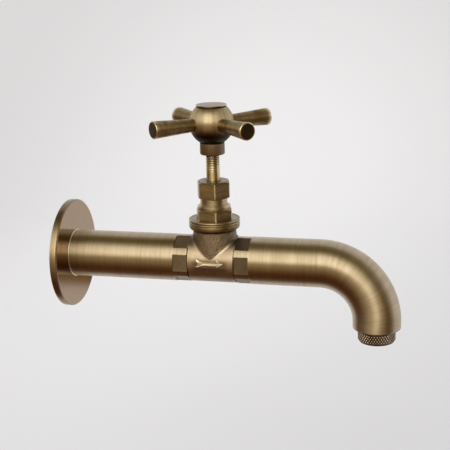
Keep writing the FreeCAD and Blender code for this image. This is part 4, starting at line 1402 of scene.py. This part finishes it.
@dataclass
class Nuts(Assembly):
    """The bonnet and the gland nut, whose rings follow a hexagon.

    Attributes:
        turn: Angle of the hexagons' corners.
        bonnet_flats: Width across the bonnet's flats.
        gland_flats: Width across the gland nut's flats.
        crown: How far a turned end face lies inside the flats.
        slope: Degrees of the turned corners.
        corner: Radius of the rubbed corners.
        flange: Thickness of the bonnet's flange.
        hexagon: Height of its hexagon.
        shoulder: Radius of its round shoulder.
        neck: Radius of its neck.
        beyond: A radius past every corner.
        steps: Faces round a nut.
    """

    turn: float = -10.0
    bonnet_flats: float = 19.8
    gland_flats: float = 18.0
    crown: float = 0.3
    slope: float = 30.0
    corner: float = 0.6
    flange: float = 1.1
    hexagon: float = 6.1
    shoulder: float = 9.7
    neck: float = 7.9
    beyond: float = 12.0
    steps: int = 360

    def build(self) -> None:
        """Makes the bonnet and the gland nut."""
        self._bonnet()
        self._gland_nut()

    def _crown(self, flats: float, face: float, way: int) -> list[Station]:
        """Rings of a hexagon's turned corners.

        Args:
            flats: Width across the flats.
            face: Height of the end face.
            way: 1 where the face is the upper end, -1 where it is the lower.

        Returns:
            The rings, from the end face inwards.
        """
        inner = flats / 2 - self.crown
        reach = flats / 2 / math.cos(SIXTH / 2) + 0.05 - inner
        fall = math.tan(math.radians(self.slope))
        radii = [inner + reach * k / 10 for k in range(11)]
        return [Station(face - way * (radius - inner) * fall, radius, True) for radius in radii]

    def _between(self, low: float, high: float) -> list[Station]:
        """Three rings of plain hexagon between two heights."""
        return [Station(low + (high - low) * k / 4, self.beyond, True) for k in range(1, 4)]

    def _piece(self, name: str, rings: list[Station], flats: float, node: str) -> None:
        """Turns the rings and lets the hexagon cut them.

        Args:
            name: The piece's name.
            rings: The rings of the closed outline, in order.
            flats: Width across the flats.
            node: The node that the piece stands for.
        """
        lathe = self.on_spindle
        bm = lathe.blank([(ring.height, ring.limit) for ring in rings], self.steps)
        station = bm.verts.layers.int["station"]
        hexagon = hexagon_radius(flats, self.turn, self.corner)
        wear_and_sheen = bm.verts.layers.float.new("wear_and_sheen")
        dirt_and_shade = bm.verts.layers.float.new("dirt_and_shade")
        bm.normal_update()
        for vert in bm.verts:
            ring = rings[vert[station]]
            # End faces and turned corners, which look up or down, are painted darker.
            vert[dirt_and_shade] = 0.48 * ease(abs(vert.normal.z), 0.5, 0.95)
            vert[wear_and_sheen] = ring.wear_and_sheen
            arm = lathe.arm(vert.co)
            if ring.hexagonal and arm.length > MERGE:
                limit = hexagon(math.atan2(arm.y, arm.x))
                lathe.seat(vert, min(ring.limit, limit))
                vert[wear_and_sheen] = max(ring.wear_and_sheen, 0.9 * ease(limit, flats * 0.556, flats * 0.567),
                                 0.6 * ease(abs(ring.limit - limit), 0.35, 0.1))
        lathe.settle(bm, name, "tap_body", "turned_brass", [node], crease=20.0)

    def _bonnet(self) -> None:
        """Flange, hexagon, shoulder and neck."""
        foot, top, rim = span("bonnet_gasket")[1], span("bonnet")[1], half_width("bonnet")
        flange = foot + self.flange
        shoulder = flange + self.hexagon
        taper = shoulder + 1.6
        end = span("gland_nut")[0] - 0.2
        bore, skirt, inlet, wide = 4.4, 10.3, 7.4, self.shoulder
        crown = self._crown(self.bonnet_flats, shoulder, 1)[::-1]
        rings = [Station(*ring) for ring in (
            (foot - 2.0, bore), (foot - 2.0, skirt), (foot, skirt), (foot, rim - 0.3),
            (foot + 0.12, rim - 0.08), (foot + 0.3, rim), (flange - 0.35, rim),
            (flange - 0.12, rim - 0.1), (flange, rim - 0.35), (flange, self.beyond),
            (flange + 0.02, self.beyond, True))]
        rings += self._between(flange + 0.02, crown[0].height + 0.02) + crown
        rings += [Station(height, radius, False, wear_and_sheen) for height, radius, wear_and_sheen in (
            (shoulder, wide - 0.02, 0.0), (shoulder + 0.02, wide, 0.0), (taper - 0.15, wide, 0.35),
            (taper, wide - 0.1, 0.6), (taper + 1.2, self.neck + 0.1, 0.35),
            (taper + 1.35, self.neck, 0.35), (end - 0.1, self.neck, 0.25),
            (end, self.neck - 0.1, 0.0), (end, inlet, 0.0), (top, inlet, 0.0), (top, bore, 0.0))]
        self._piece("bonnet_skin", rings, self.bonnet_flats, "bonnet")

    def _gland_nut(self) -> None:
        """Hexagon turned off at both ends, bored for the spindle."""
        bottom, top = span("gland_nut")
        bore, inside, roof = 4.1, 7.5, top - 2.9
        lower = self._crown(self.gland_flats, bottom, -1)
        upper = self._crown(self.gland_flats, top, 1)[::-1]
        rings = [Station(bottom, inside), Station(bottom, lower[0].limit - 0.4), *lower,
                 *self._between(lower[-1].height, upper[0].height), *upper,
                 Station(top, bore + 0.5), Station(top - 0.4, bore), Station(roof, bore),
                 Station(roof, inside)]
        self._piece("gland_nut_skin", rings, self.gland_flats, "gland_nut")


@dataclass
class Spindle(Assembly):
    """The rising spindle, threaded where it enters the handle.

    Attributes:
        radius: Radius of its stem.
        foot: Radius of its foot.
        lift: Radius of the part that the bonnet's thread turns on.
        lift_low: Height where that part starts.
        lift_high: Height where it ends.
        square: Radius of its top in the hub.
        square_length: Length of that top.
        pitch: Pitch of the upper thread.
        depth: Depth of the upper thread.
        length: Length of thread in sight.
        fade: Length over which it gets its depth.
        steps: Faces round it.
    """

    radius: float = 4.0
    foot: float = 4.9
    lift: float = 6.0
    lift_low: float = 14.0
    lift_high: float = 29.0
    square: float = 2.75
    square_length: float = 10.0
    pitch: float = 1.05
    depth: float = 0.34
    length: float = 12.0
    fade: float = 8.5
    steps: int = 72

    def build(self) -> None:
        """Makes the spindle from its foot to its square, then cuts the thread."""
        lathe = self.on_spindle
        low, top = span("spindle")
        hub_low = span("handle_hub")[0]
        start, end = hub_low - self.length, hub_low + 3.0
        count = round((end - start) / 0.08)
        slim, root = self.radius - 0.1, top - self.square_length
        bm = lathe.blank([
            (low, 0.0), (low, self.foot), (self.lift_low, self.foot), (self.lift_low, self.lift),
            (self.lift_high, self.lift), (self.lift_high, self.radius), (start - 0.4, self.radius),
            *((start + (end - start) * k / count, self.radius) for k in range(count + 1)),
            (end + 0.3, slim), (root, slim), (root, self.square), (top, self.square), (top, 0.0)],
            self.steps)
        for vert in bm.verts:
            height, radius = lathe.place(vert.co)
            if start - 0.01 <= height <= end + 0.01 and radius >= 3.0:
                arm = lathe.arm(vert.co)
                phase = (height / self.pitch - math.atan2(arm.y, arm.x) / TURN) % 1.0
                groove = max(0.0, 1.0 - abs(phase - 0.5) / 0.38)
                lathe.seat(vert, self.radius
                           - self.depth * groove * ease(height, start, start + self.fade))

        def groove_dirt_and_shade(vert: bmesh.types.BMVert) -> float:
            """Dirt and painted shade in the bottom of the thread.

            Args:
                vert: A vertex.

            Returns:
                Its darkening.
            """
            height, radius = lathe.place(vert.co)
            if height < start or radius < 3.0:
                return 0.0
            return 0.95 * ease(radius, self.radius - 0.06, self.radius - self.depth * 0.8)

        paint(bm, "dirt_and_shade", groove_dirt_and_shade)
        lathe.settle(bm, "spindle_stem", "handle", "plain_brass", ["spindle"], crease=50.0)


# ------------------------------------------------------------------ handle


@dataclass
class CrossHandle(Assembly):
    """The hub, its four arms and its cap.

    Attributes:
        ball: Radius of the ball.
        collar: Radius of the collar below it.
        collar_height: Height of the collar.
        arm_turn: Degrees from +X to the first arm.
        arm_start: Distance of an arm's inner end from the spindle's axis.
        arm_root: Radius of an arm at the hub.
        arm_end: Radius of an arm at its flat end.
        swell: How late an arm swells.
        cap_neck: Radius of the groove under the cap.
        cap_edge: Thickness of the cap's disc.
    """

    ball: float = 13.0
    collar: float = 7.2
    collar_height: float = 6.9
    arm_turn: float = 46.0
    arm_start: float = 9.0
    arm_root: float = 3.6
    arm_end: float = 5.1
    swell: float = 1.15
    cap_neck: float = 8.3
    cap_edge: float = 0.7

    def build(self) -> None:
        """Makes hub, cap and arms."""
        foot, flat = span("handle_hub")
        middle = sum(span("handle_arm_1")) / 2
        self._hub(foot, flat, middle)
        self._cap(flat)
        for index in range(4):
            self._arm(index, middle)

    def _hub(self, foot: float, flat: float, middle: float) -> None:
        """Collar and ball in one, flat on top.

        Args:
            foot: Height of the collar's lower end.
            flat: Height of the flat.
            middle: Height of the arms' axes.
        """
        step = foot + self.collar_height
        low_angle = math.acos(max(-1.0, min(1.0, (step - middle) / self.ball)))
        high_angle = math.acos((flat - middle) / self.ball)
        angles = [low_angle + (high_angle - low_angle) * k / 44 for k in range(45)]
        outline = [(foot, 0.0), (foot, self.collar - 0.5), (foot + 0.45, self.collar),
                   (step - 0.35, self.collar), (step, self.collar - 0.35),
                   (step, self.ball * math.sin(low_angle)),
                   *((middle + self.ball * math.cos(a), self.ball * math.sin(a))
                     for a in angles[1:]), (flat, 0.0)]
        # The collar is painted darker all over, and the ball painted darker from partway up down to
        # the collar: painted shade on its underside.
        self.on_spindle.piece(
            "hub_skin", outline, "handle", "hub_brass", ["handle_hub"], rounding=0.1, steps=144,
            dirt_and_shade=lambda height, _: 0.45 if height < step - 0.1
            else ease(height, step + 9.5, step + 4.5))

    def _cap(self, flat: float) -> None:
        """Thin disc over a narrower neck, slightly crowned.

        Args:
            flat: Height of the hub's flat top.
        """
        top, radius = span("handle_cap")[1], half_width("handle_cap")
        edge = top - self.cap_edge
        outline = [(flat - 0.3, 0.0), (flat - 0.3, self.cap_neck), (edge, self.cap_neck),
                   (edge, radius - 0.15), (edge + 0.15, radius), (top - 0.22, radius),
                   (top - 0.05, radius - 0.25), (top, radius - 1.0), (top, 0.0)]
        # Painted shadow on the neck and under the disc's edge.
        self.on_spindle.piece(
            "cap_disc", outline, "handle", "cap_brass", ["handle_cap"], rounding=0.0, steps=144,
            dirt_and_shade=lambda height, _: 0.95 * ease(height, edge + 0.1, edge - 0.05))

    def _arm(self, index: int, middle: float) -> None:
        """One arm that swells to a flat end.

        Args:
            index: Its number, counted from 0.
            middle: Height of its axis.
        """
        first, way = (Vector((math.cos(angle), math.sin(angle), 0.0)) for angle in (
            math.radians(self.arm_turn + 90.0 * k) for k in (0, index)))
        far = (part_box("handle_arm_1")[1] - SPINDLE_SPOT).x
        end = (far - abs(first.y) * self.arm_end * MM) / first.x / MM
        start, reach = self.arm_start, end - 0.35 - self.arm_start
        grow = self.arm_end - self.arm_root
        outline = [(start, 0.0), *((start + reach * share, self.arm_root
                                    + grow * share ** self.swell)
                                   for share in (k / 12 for k in range(13)))]
        outline += [(end - 0.14, self.arm_end - 0.10), (end - 0.02, self.arm_end - 0.36),
                    (end, self.arm_end - 0.62), (end, self.arm_end - 0.80), (end, 0.0)]
        lathe = Lathe(self.shop, Vector((SPINDLE_SPOT.x, 0.0, middle * MM)), way, UP, 5 * MM)
        bm = lathe.blank(outline, 72)
        station = bm.verts.layers.int["station"]
        face, rim = len(outline) - 2, len(outline) - 7
        paint(bm, "dirt_and_shade", lambda vert: 0.8 * (vert[station] >= face))
        paint(bm, "wear_and_sheen", lambda vert: float(rim < vert[station] < face))
        lathe.settle(bm, f"arm_{index + 1}", "handle", "arm_brass", [f"handle_arm_{index + 1}"],
                     crease=40.0)


# ------------------------------------------------------------------ aerator


@dataclass
class Aerator(Assembly):
    """The screwed ring in the spout's end, with its finger grip.

    Attributes:
        teeth: Ridges of the diamond grip round the ring.
        lean: How many ridge spacings a ridge leans over the grip's height.
        depth: Depth of the grip.
        width: Half the width of a groove, as a share of the spacing.
        rows: Rows of faces over the grip's height.
    """

    teeth: int = 42
    lean: float = 2.0
    depth: float = 0.42
    width: float = 0.27
    rows: int = 44

    def build(self) -> None:
        """Makes the ring and presses the two crossing sets of grooves."""
        lathe = Lathe(self.shop, SPOUT_SPOT, UP, OUT)
        bottom, top = span("aerator_ring")
        rim = half_width("aerator_ring")
        shoulder = span("spout_end_bush")[0] - 0.3
        high, low = shoulder - 1.6, bottom + 1.7
        outline = [(top, rim - 2.0), (top, rim - 1.0), (shoulder, rim - 1.0),
                   (shoulder, rim - 0.45), (high + 0.25, rim - 0.45)]
        first = len(outline)
        last = first + self.rows
        outline += [(high + (low - high) * k / self.rows, rim) for k in range(self.rows + 1)]
        outline += [(low - 0.05, rim - 0.1), (bottom + 0.35, rim - 0.75),
                    (bottom + 0.1, rim - 0.95), (bottom, rim - 1.2), (bottom, rim - 3.0),
                    (bottom + 1.2, rim - 3.0), (bottom + 1.2, rim - 2.0)]
        bm = lathe.blank(outline, self.teeth * 10)
        station = bm.verts.layers.int["station"]
        for vert in bm.verts:
            if first < vert[station] < last:
                arm = lathe.arm(vert.co)
                turn = math.atan2(arm.y, arm.x) / TURN * self.teeth
                rise = (vert.co.z / MM - low) / (high - low) * self.lean
                groove = max(0.0, *(1.0 - abs(phase % 1.0 - 0.5) / self.width
                                    for phase in (turn + rise, turn - rise)))
                lathe.seat(vert, rim - self.depth * groove)
        # Rings painted dark as shadow: the gap under the spout's lip and the chamfer below the
        # grip.
        dark = {first - 2, first - 1, last, last + 1, last + 2}

        def dirt_and_shade_share(vert: bmesh.types.BMVert) -> float:
            """Painted shadow above and below the grip, and dirt and painted shade in its grooves.

            Args:
                vert: A vertex.

            Returns:
                Its darkening.
            """
            if vert[station] in dark:
                return 0.93
            if not first <= vert[station] < last:
                return 0.0
            return ease(lathe.place(vert.co)[1], rim - 0.03, rim - self.depth * 0.55)

        paint(bm, "dirt_and_shade", dirt_and_shade_share)
        paint(bm, "wear_and_sheen", lambda vert: float(vert[station] in (last + 3, last + 4)))
        lathe.settle(bm, "aerator_rim", "aerator_ring", "grip_brass", ["aerator_ring"], crease=60.0)


# ------------------------------------------------------------------ kept nodes, studio, camera


@dataclass
class KeptNodes(Assembly):
    """The nodes whose solids show as they are, and get only a finish."""

    def dress(self) -> None:
        """Puts each kept node's finish on its material slots."""
        slots = {part["node"]: part["material_slot"] for part in frame["record"]["subparts"]}
        replaced = {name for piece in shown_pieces() for name in piece.get("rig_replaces", [])}
        for name, node in frame["nodes"].items():
            if name in replaced:
                continue
            node.data.materials.clear()
            node.data.materials.append(self.shop.materials[slots[name]])
            LOG.info("%s keeps its solid", name)


@dataclass
class Viewpoint:
    """The camera, fitted to the photograph's outlines.

    Attributes:
        place: Where it stands, in millimetres.
        yaw: Degrees that it looks to the left of +Y.
        pitch: Degrees that it looks down.
        roll: Degrees that it leans.
        focal: Focal length in pixels of the frame.
        frame_width: Width of the frame in pixels.
        sensor: Width of the sensor in millimetres.
    """

    place: tuple[float, float, float] = (260.4, -610.1, 181.4)
    yaw: float = 14.86
    pitch: float = 14.28
    roll: float = -1.55
    focal: float = 1109.3
    frame_width: int = 450
    sensor: float = 36.0

    def build(self) -> None:
        """Makes the camera the scene's own."""
        yaw, pitch, roll = (math.radians(a) for a in (self.yaw, self.pitch, self.roll))
        look = Vector((-math.sin(yaw) * math.cos(pitch), math.cos(yaw) * math.cos(pitch),
                       -math.sin(pitch)))
        right = look.cross(UP).normalized()
        up = right.cross(look)
        leaning = right * math.cos(roll) + up * math.sin(roll)
        upright = up * math.cos(roll) - right * math.sin(roll)
        data = bpy.data.cameras.new("camera")
        data.sensor_width = self.sensor
        data.lens = self.focal * self.sensor / self.frame_width
        data.clip_start, data.clip_end = 0.01, 20.0
        camera = bpy.data.objects.new("camera", data)
        turn = Matrix((leaning, upright, -look)).transposed().to_4x4()
        camera.matrix_world = Matrix.Translation(Vector(self.place) * MM) @ turn
        bpy.context.scene.collection.objects.link(camera)
        bpy.context.scene.camera = camera


# Each glow is the product of smooth bands: what it follows, from where, to where, and the
# strength at either end where that isn't 0 and 1. x, y and z are those of the direction
# looked in, aside and ahead are angles from straight ahead, back is y, corrected for the
# slant of the wall behind, and tilt is the slope of a look at that wall.
GLOWS = {
    "core": (("z", 0.0, 0.28, 0.0, 2.6), ("z", 0.97, 0.72), ("z", 0.30, 0.60, 1.0, 0.84),
             ("ahead", 0.36, 0.08)),
    "box": (("z", 0.02, 0.32, 0.0, 0.45), ("z", 1.0, 0.66), ("aside", 1.15, 0.25)),
    "beside": (("aside", 0.9, 1.6, 0.0, 0.38), ("z", -0.1, 0.25), ("z", 0.62, 0.28),
               ("aside", 2.6, 1.9)),
    "wing": (("x", 0.02, -0.45, 0.0, 1.25), ("aside", 1.7, 0.9), ("z", 0.02, 0.30),
             ("z", 0.98, 0.74, 0.0, 0.40)),
    "skirt": (("z", -0.85, 0.15, 0.0, 0.50), ("z", 1.0, 0.66), ("aside", 1.15, 0.25)),
    "wall": (("back", -0.01, 0.36, 0.0, 0.58),),
    "far wall": (("back", 0.35, 1.0, 0.0, 0.34), ("x", 0.0, -0.36, 0.4, 1.0)),
    "strip": (("tilt", -0.3375, -0.3255), ("tilt", -0.300, -0.312)),
    "loft": (("z", -0.3, 0.6),),
}


@dataclass
class Studio:
    """Pale surroundings: a bright wall behind, a dark room in front and a soft box in it.

    Attributes:
        pale: Brightness of the background in the picture.
        floor_drop: How far the floor lies below the tap, in metres.
        floor_ends: Where the floor starts and where it turns up, along Y.
        floor_side: Its half width to the left, and its whole width.
        sweep: Radius of its sweep.
        backdrop: Height of its top above the floor.
        painted_light_spot: Where the paper's painted pool of light is brightest.
        room: Colour of the dark room in front, low down, as metal mirrors it.
        loft: Colour of the dark room overhead.
        wall: Colour of the bright surroundings behind.
        strip: Colour of the thin dark strip low on the wall, seen in the wall plate.
        box_light: Colour of the soft box in front.
        skirt_light: Colour of the glow round the soft box.
        lamp_spot: Where the lamp hangs.
        lamp_power: Its power in watts.
        lamp_size: Its width in metres.
    """

    pale: float = 0.815
    floor_drop: float = 0.13
    floor_ends: Corner = (-1.5, 0.75)
    floor_side: Corner = (1.3, 2.8)
    sweep: float = 0.35
    backdrop: float = 1.4
    painted_light_spot: Colour = (-0.09, 0.74, -0.165)
    room: Colour = (0.090, 0.032, 0.009)
    loft: Colour = (0.130, 0.088, 0.016)
    wall: Colour = (0.98, 0.98, 1.0)
    strip: Colour = (0.24, 0.14, 0.030)
    box_light: Colour = (1.0, 1.0, 0.98)
    skirt_light: Colour = (1.0, 0.82, 0.48)
    lamp_spot: Colour = (0.0, -0.7, 1.1)
    lamp_power: float = 6.0
    lamp_size: float = 0.9

    def build(self) -> None:
        """Makes world, floor and lamp."""
        self._world()
        self._floor()
        self._lamp()
        scene = bpy.context.scene
        scene.view_settings.view_transform = "Standard"

    def _world(self) -> None:
        """World that is plain pale to the camera and a studio to metal."""
        world = bpy.data.worlds.new("studio")
        bpy.context.scene.world = world
        board = Board.fresh(world)
        way = board.add("ShaderNodeTexCoord").outputs["Generated"]
        x, y, z = board.add("ShaderNodeSeparateXYZ", {0: way}).outputs
        front = board.product(y, -1.0)
        slant = board.compute("MULTIPLY_ADD", board.compute("MAXIMUM", z, 0.0), -0.22, y)
        places = {
            "x": x, "z": z, "back": board.compute("MULTIPLY_ADD", x, 0.15, slant),
            "tilt": board.compute("DIVIDE", z, board.compute("MAXIMUM", y, 0.05))}
        for name, offset in (("aside", 0.0), ("ahead", 0.04)):
            off = board.compute("ABSOLUTE", board.compute("SUBTRACT", x, offset))
            places[name] = board.compute("ARCTAN2", off, front)
        glow = {name: board.product(*(board.spread(places[place], *ends) for place, *ends in bands))
                for name, bands in GLOWS.items()}
        bright = glow["core"]
        for name in ("box", "beside", "wing"):
            bright = board.compute("ADD", bright, glow[name])
        mirrored = opaque(self.room)
        for share, colour in ((glow["loft"], self.loft),
                              (board.compute("ADD", glow["wall"], glow["far wall"]), self.wall),
                              (glow["strip"], self.strip)):
            mirrored = board.mix(share, mirrored, opaque(colour))
        for colour, amount in ((self.skirt_light, glow["skirt"]), (self.box_light, bright)):
            lamp = board.add("ShaderNodeVectorMath", {0: colour, 3: amount}, operation="SCALE")
            mirrored = board.vector("ADD", mirrored, lamp)
        studio, plain = (board.add("ShaderNodeBackground", {"Color": colour, "Strength": 1.0})
                         for colour in (mirrored, opaque((self.pale,) * 3)))
        board.add("ShaderNodeOutputWorld", {"Surface": board.seen(studio, plain)})

    def _floor(self) -> None:
        """Floor that sweeps up into a backdrop behind the tap."""
        lowest = CAD_BOX[0].z - self.floor_drop
        start, turn = self.floor_ends
        arc = [QUARTER * k / 16 for k in range(1, 17)]
        outline = [(start, lowest), (turn, lowest),
                   *((turn + self.sweep * math.sin(a), lowest + self.sweep * (1 - math.cos(a)))
                     for a in arc), (turn + self.sweep, lowest + self.backdrop)]
        bm = bmesh.new()
        line = [bm.verts.new((-self.floor_side[0], y, z)) for y, z in outline]
        drawn(bm, [bm.edges.new(pair) for pair in zip(line, line[1:])], OUT * self.floor_side[1])
        mesh = bpy.data.meshes.new("floor")
        bm.to_mesh(mesh)
        bm.free()
        mesh.shade_smooth()
        mesh.materials.append(self._paper())
        floor = bpy.data.objects.new("floor", mesh)
        bpy.context.scene.collection.objects.link(floor)
        floor.visible_glossy = False
        floor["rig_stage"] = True

    def _paper(self) -> bpy.types.Material:
        """Pale paper that glows to the camera, in a painted pool of light, and still takes a
        shadow.

        Returns:
            The material.
        """
        material = bpy.data.materials.new("paper")
        board = Board.fresh(material)
        matte, faint = (board.add("ShaderNodeBsdfDiffuse", {"Color": opaque((grey,) * 3)})
                        for grey in (0.8, 0.20))
        place = board.add("ShaderNodeTexCoord").outputs["Object"]
        # The glow falls off away from the spot: a painted pool of light on the paper.
        offset = board.vector("MULTIPLY", board.vector("SUBTRACT", place, self.painted_light_spot),
                              (1.0, 0.45, 1.0))
        away = board.add("ShaderNodeVectorMath", {0: offset}, operation="LENGTH").outputs["Value"]
        tone = board.mix(board.spread(away, 0.05, 0.50), (0.690, 0.69, 0.715, 1.0),
                         (0.525, 0.525, 0.550, 1.0))
        glow = board.add("ShaderNodeEmission", {"Color": tone, "Strength": 1.0})
        lit = board.add("ShaderNodeAddShader", {0: glow, 1: faint})
        board.add("ShaderNodeOutputMaterial", {"Surface": board.seen(matte, lit)})
        return material

    def _lamp(self) -> None:
        """One broad soft lamp above the camera."""
        data = bpy.data.lights.new("soft_lamp", "AREA")
        data.energy, data.size = self.lamp_power, self.lamp_size
        lamp = bpy.data.objects.new("soft_lamp", data)
        spot = Vector(self.lamp_spot)
        lamp.matrix_world = Matrix.Translation(spot) @ (
            (OUT * 0.1 - spot).to_track_quat("-Z", "Y").to_matrix().to_4x4())
        lamp.visible_glossy = False
        bpy.context.scene.collection.objects.link(lamp)


def main() -> None:
    """Builds the camera, the studio and every piece of the tap."""
    logging.basicConfig(level=logging.INFO, format="%(name)s: %(message)s")
    Viewpoint().build()
    Studio().build()
    shop = Workshop()
    for part in (WallPlate(shop), Tubes(shop), ValveCasting(shop), Nuts(shop), Spindle(shop),
                 CrossHandle(shop), Aerator(shop)):
        part.build()
    KeptNodes(shop).dress()


if __name__ == "__main__":
    main()
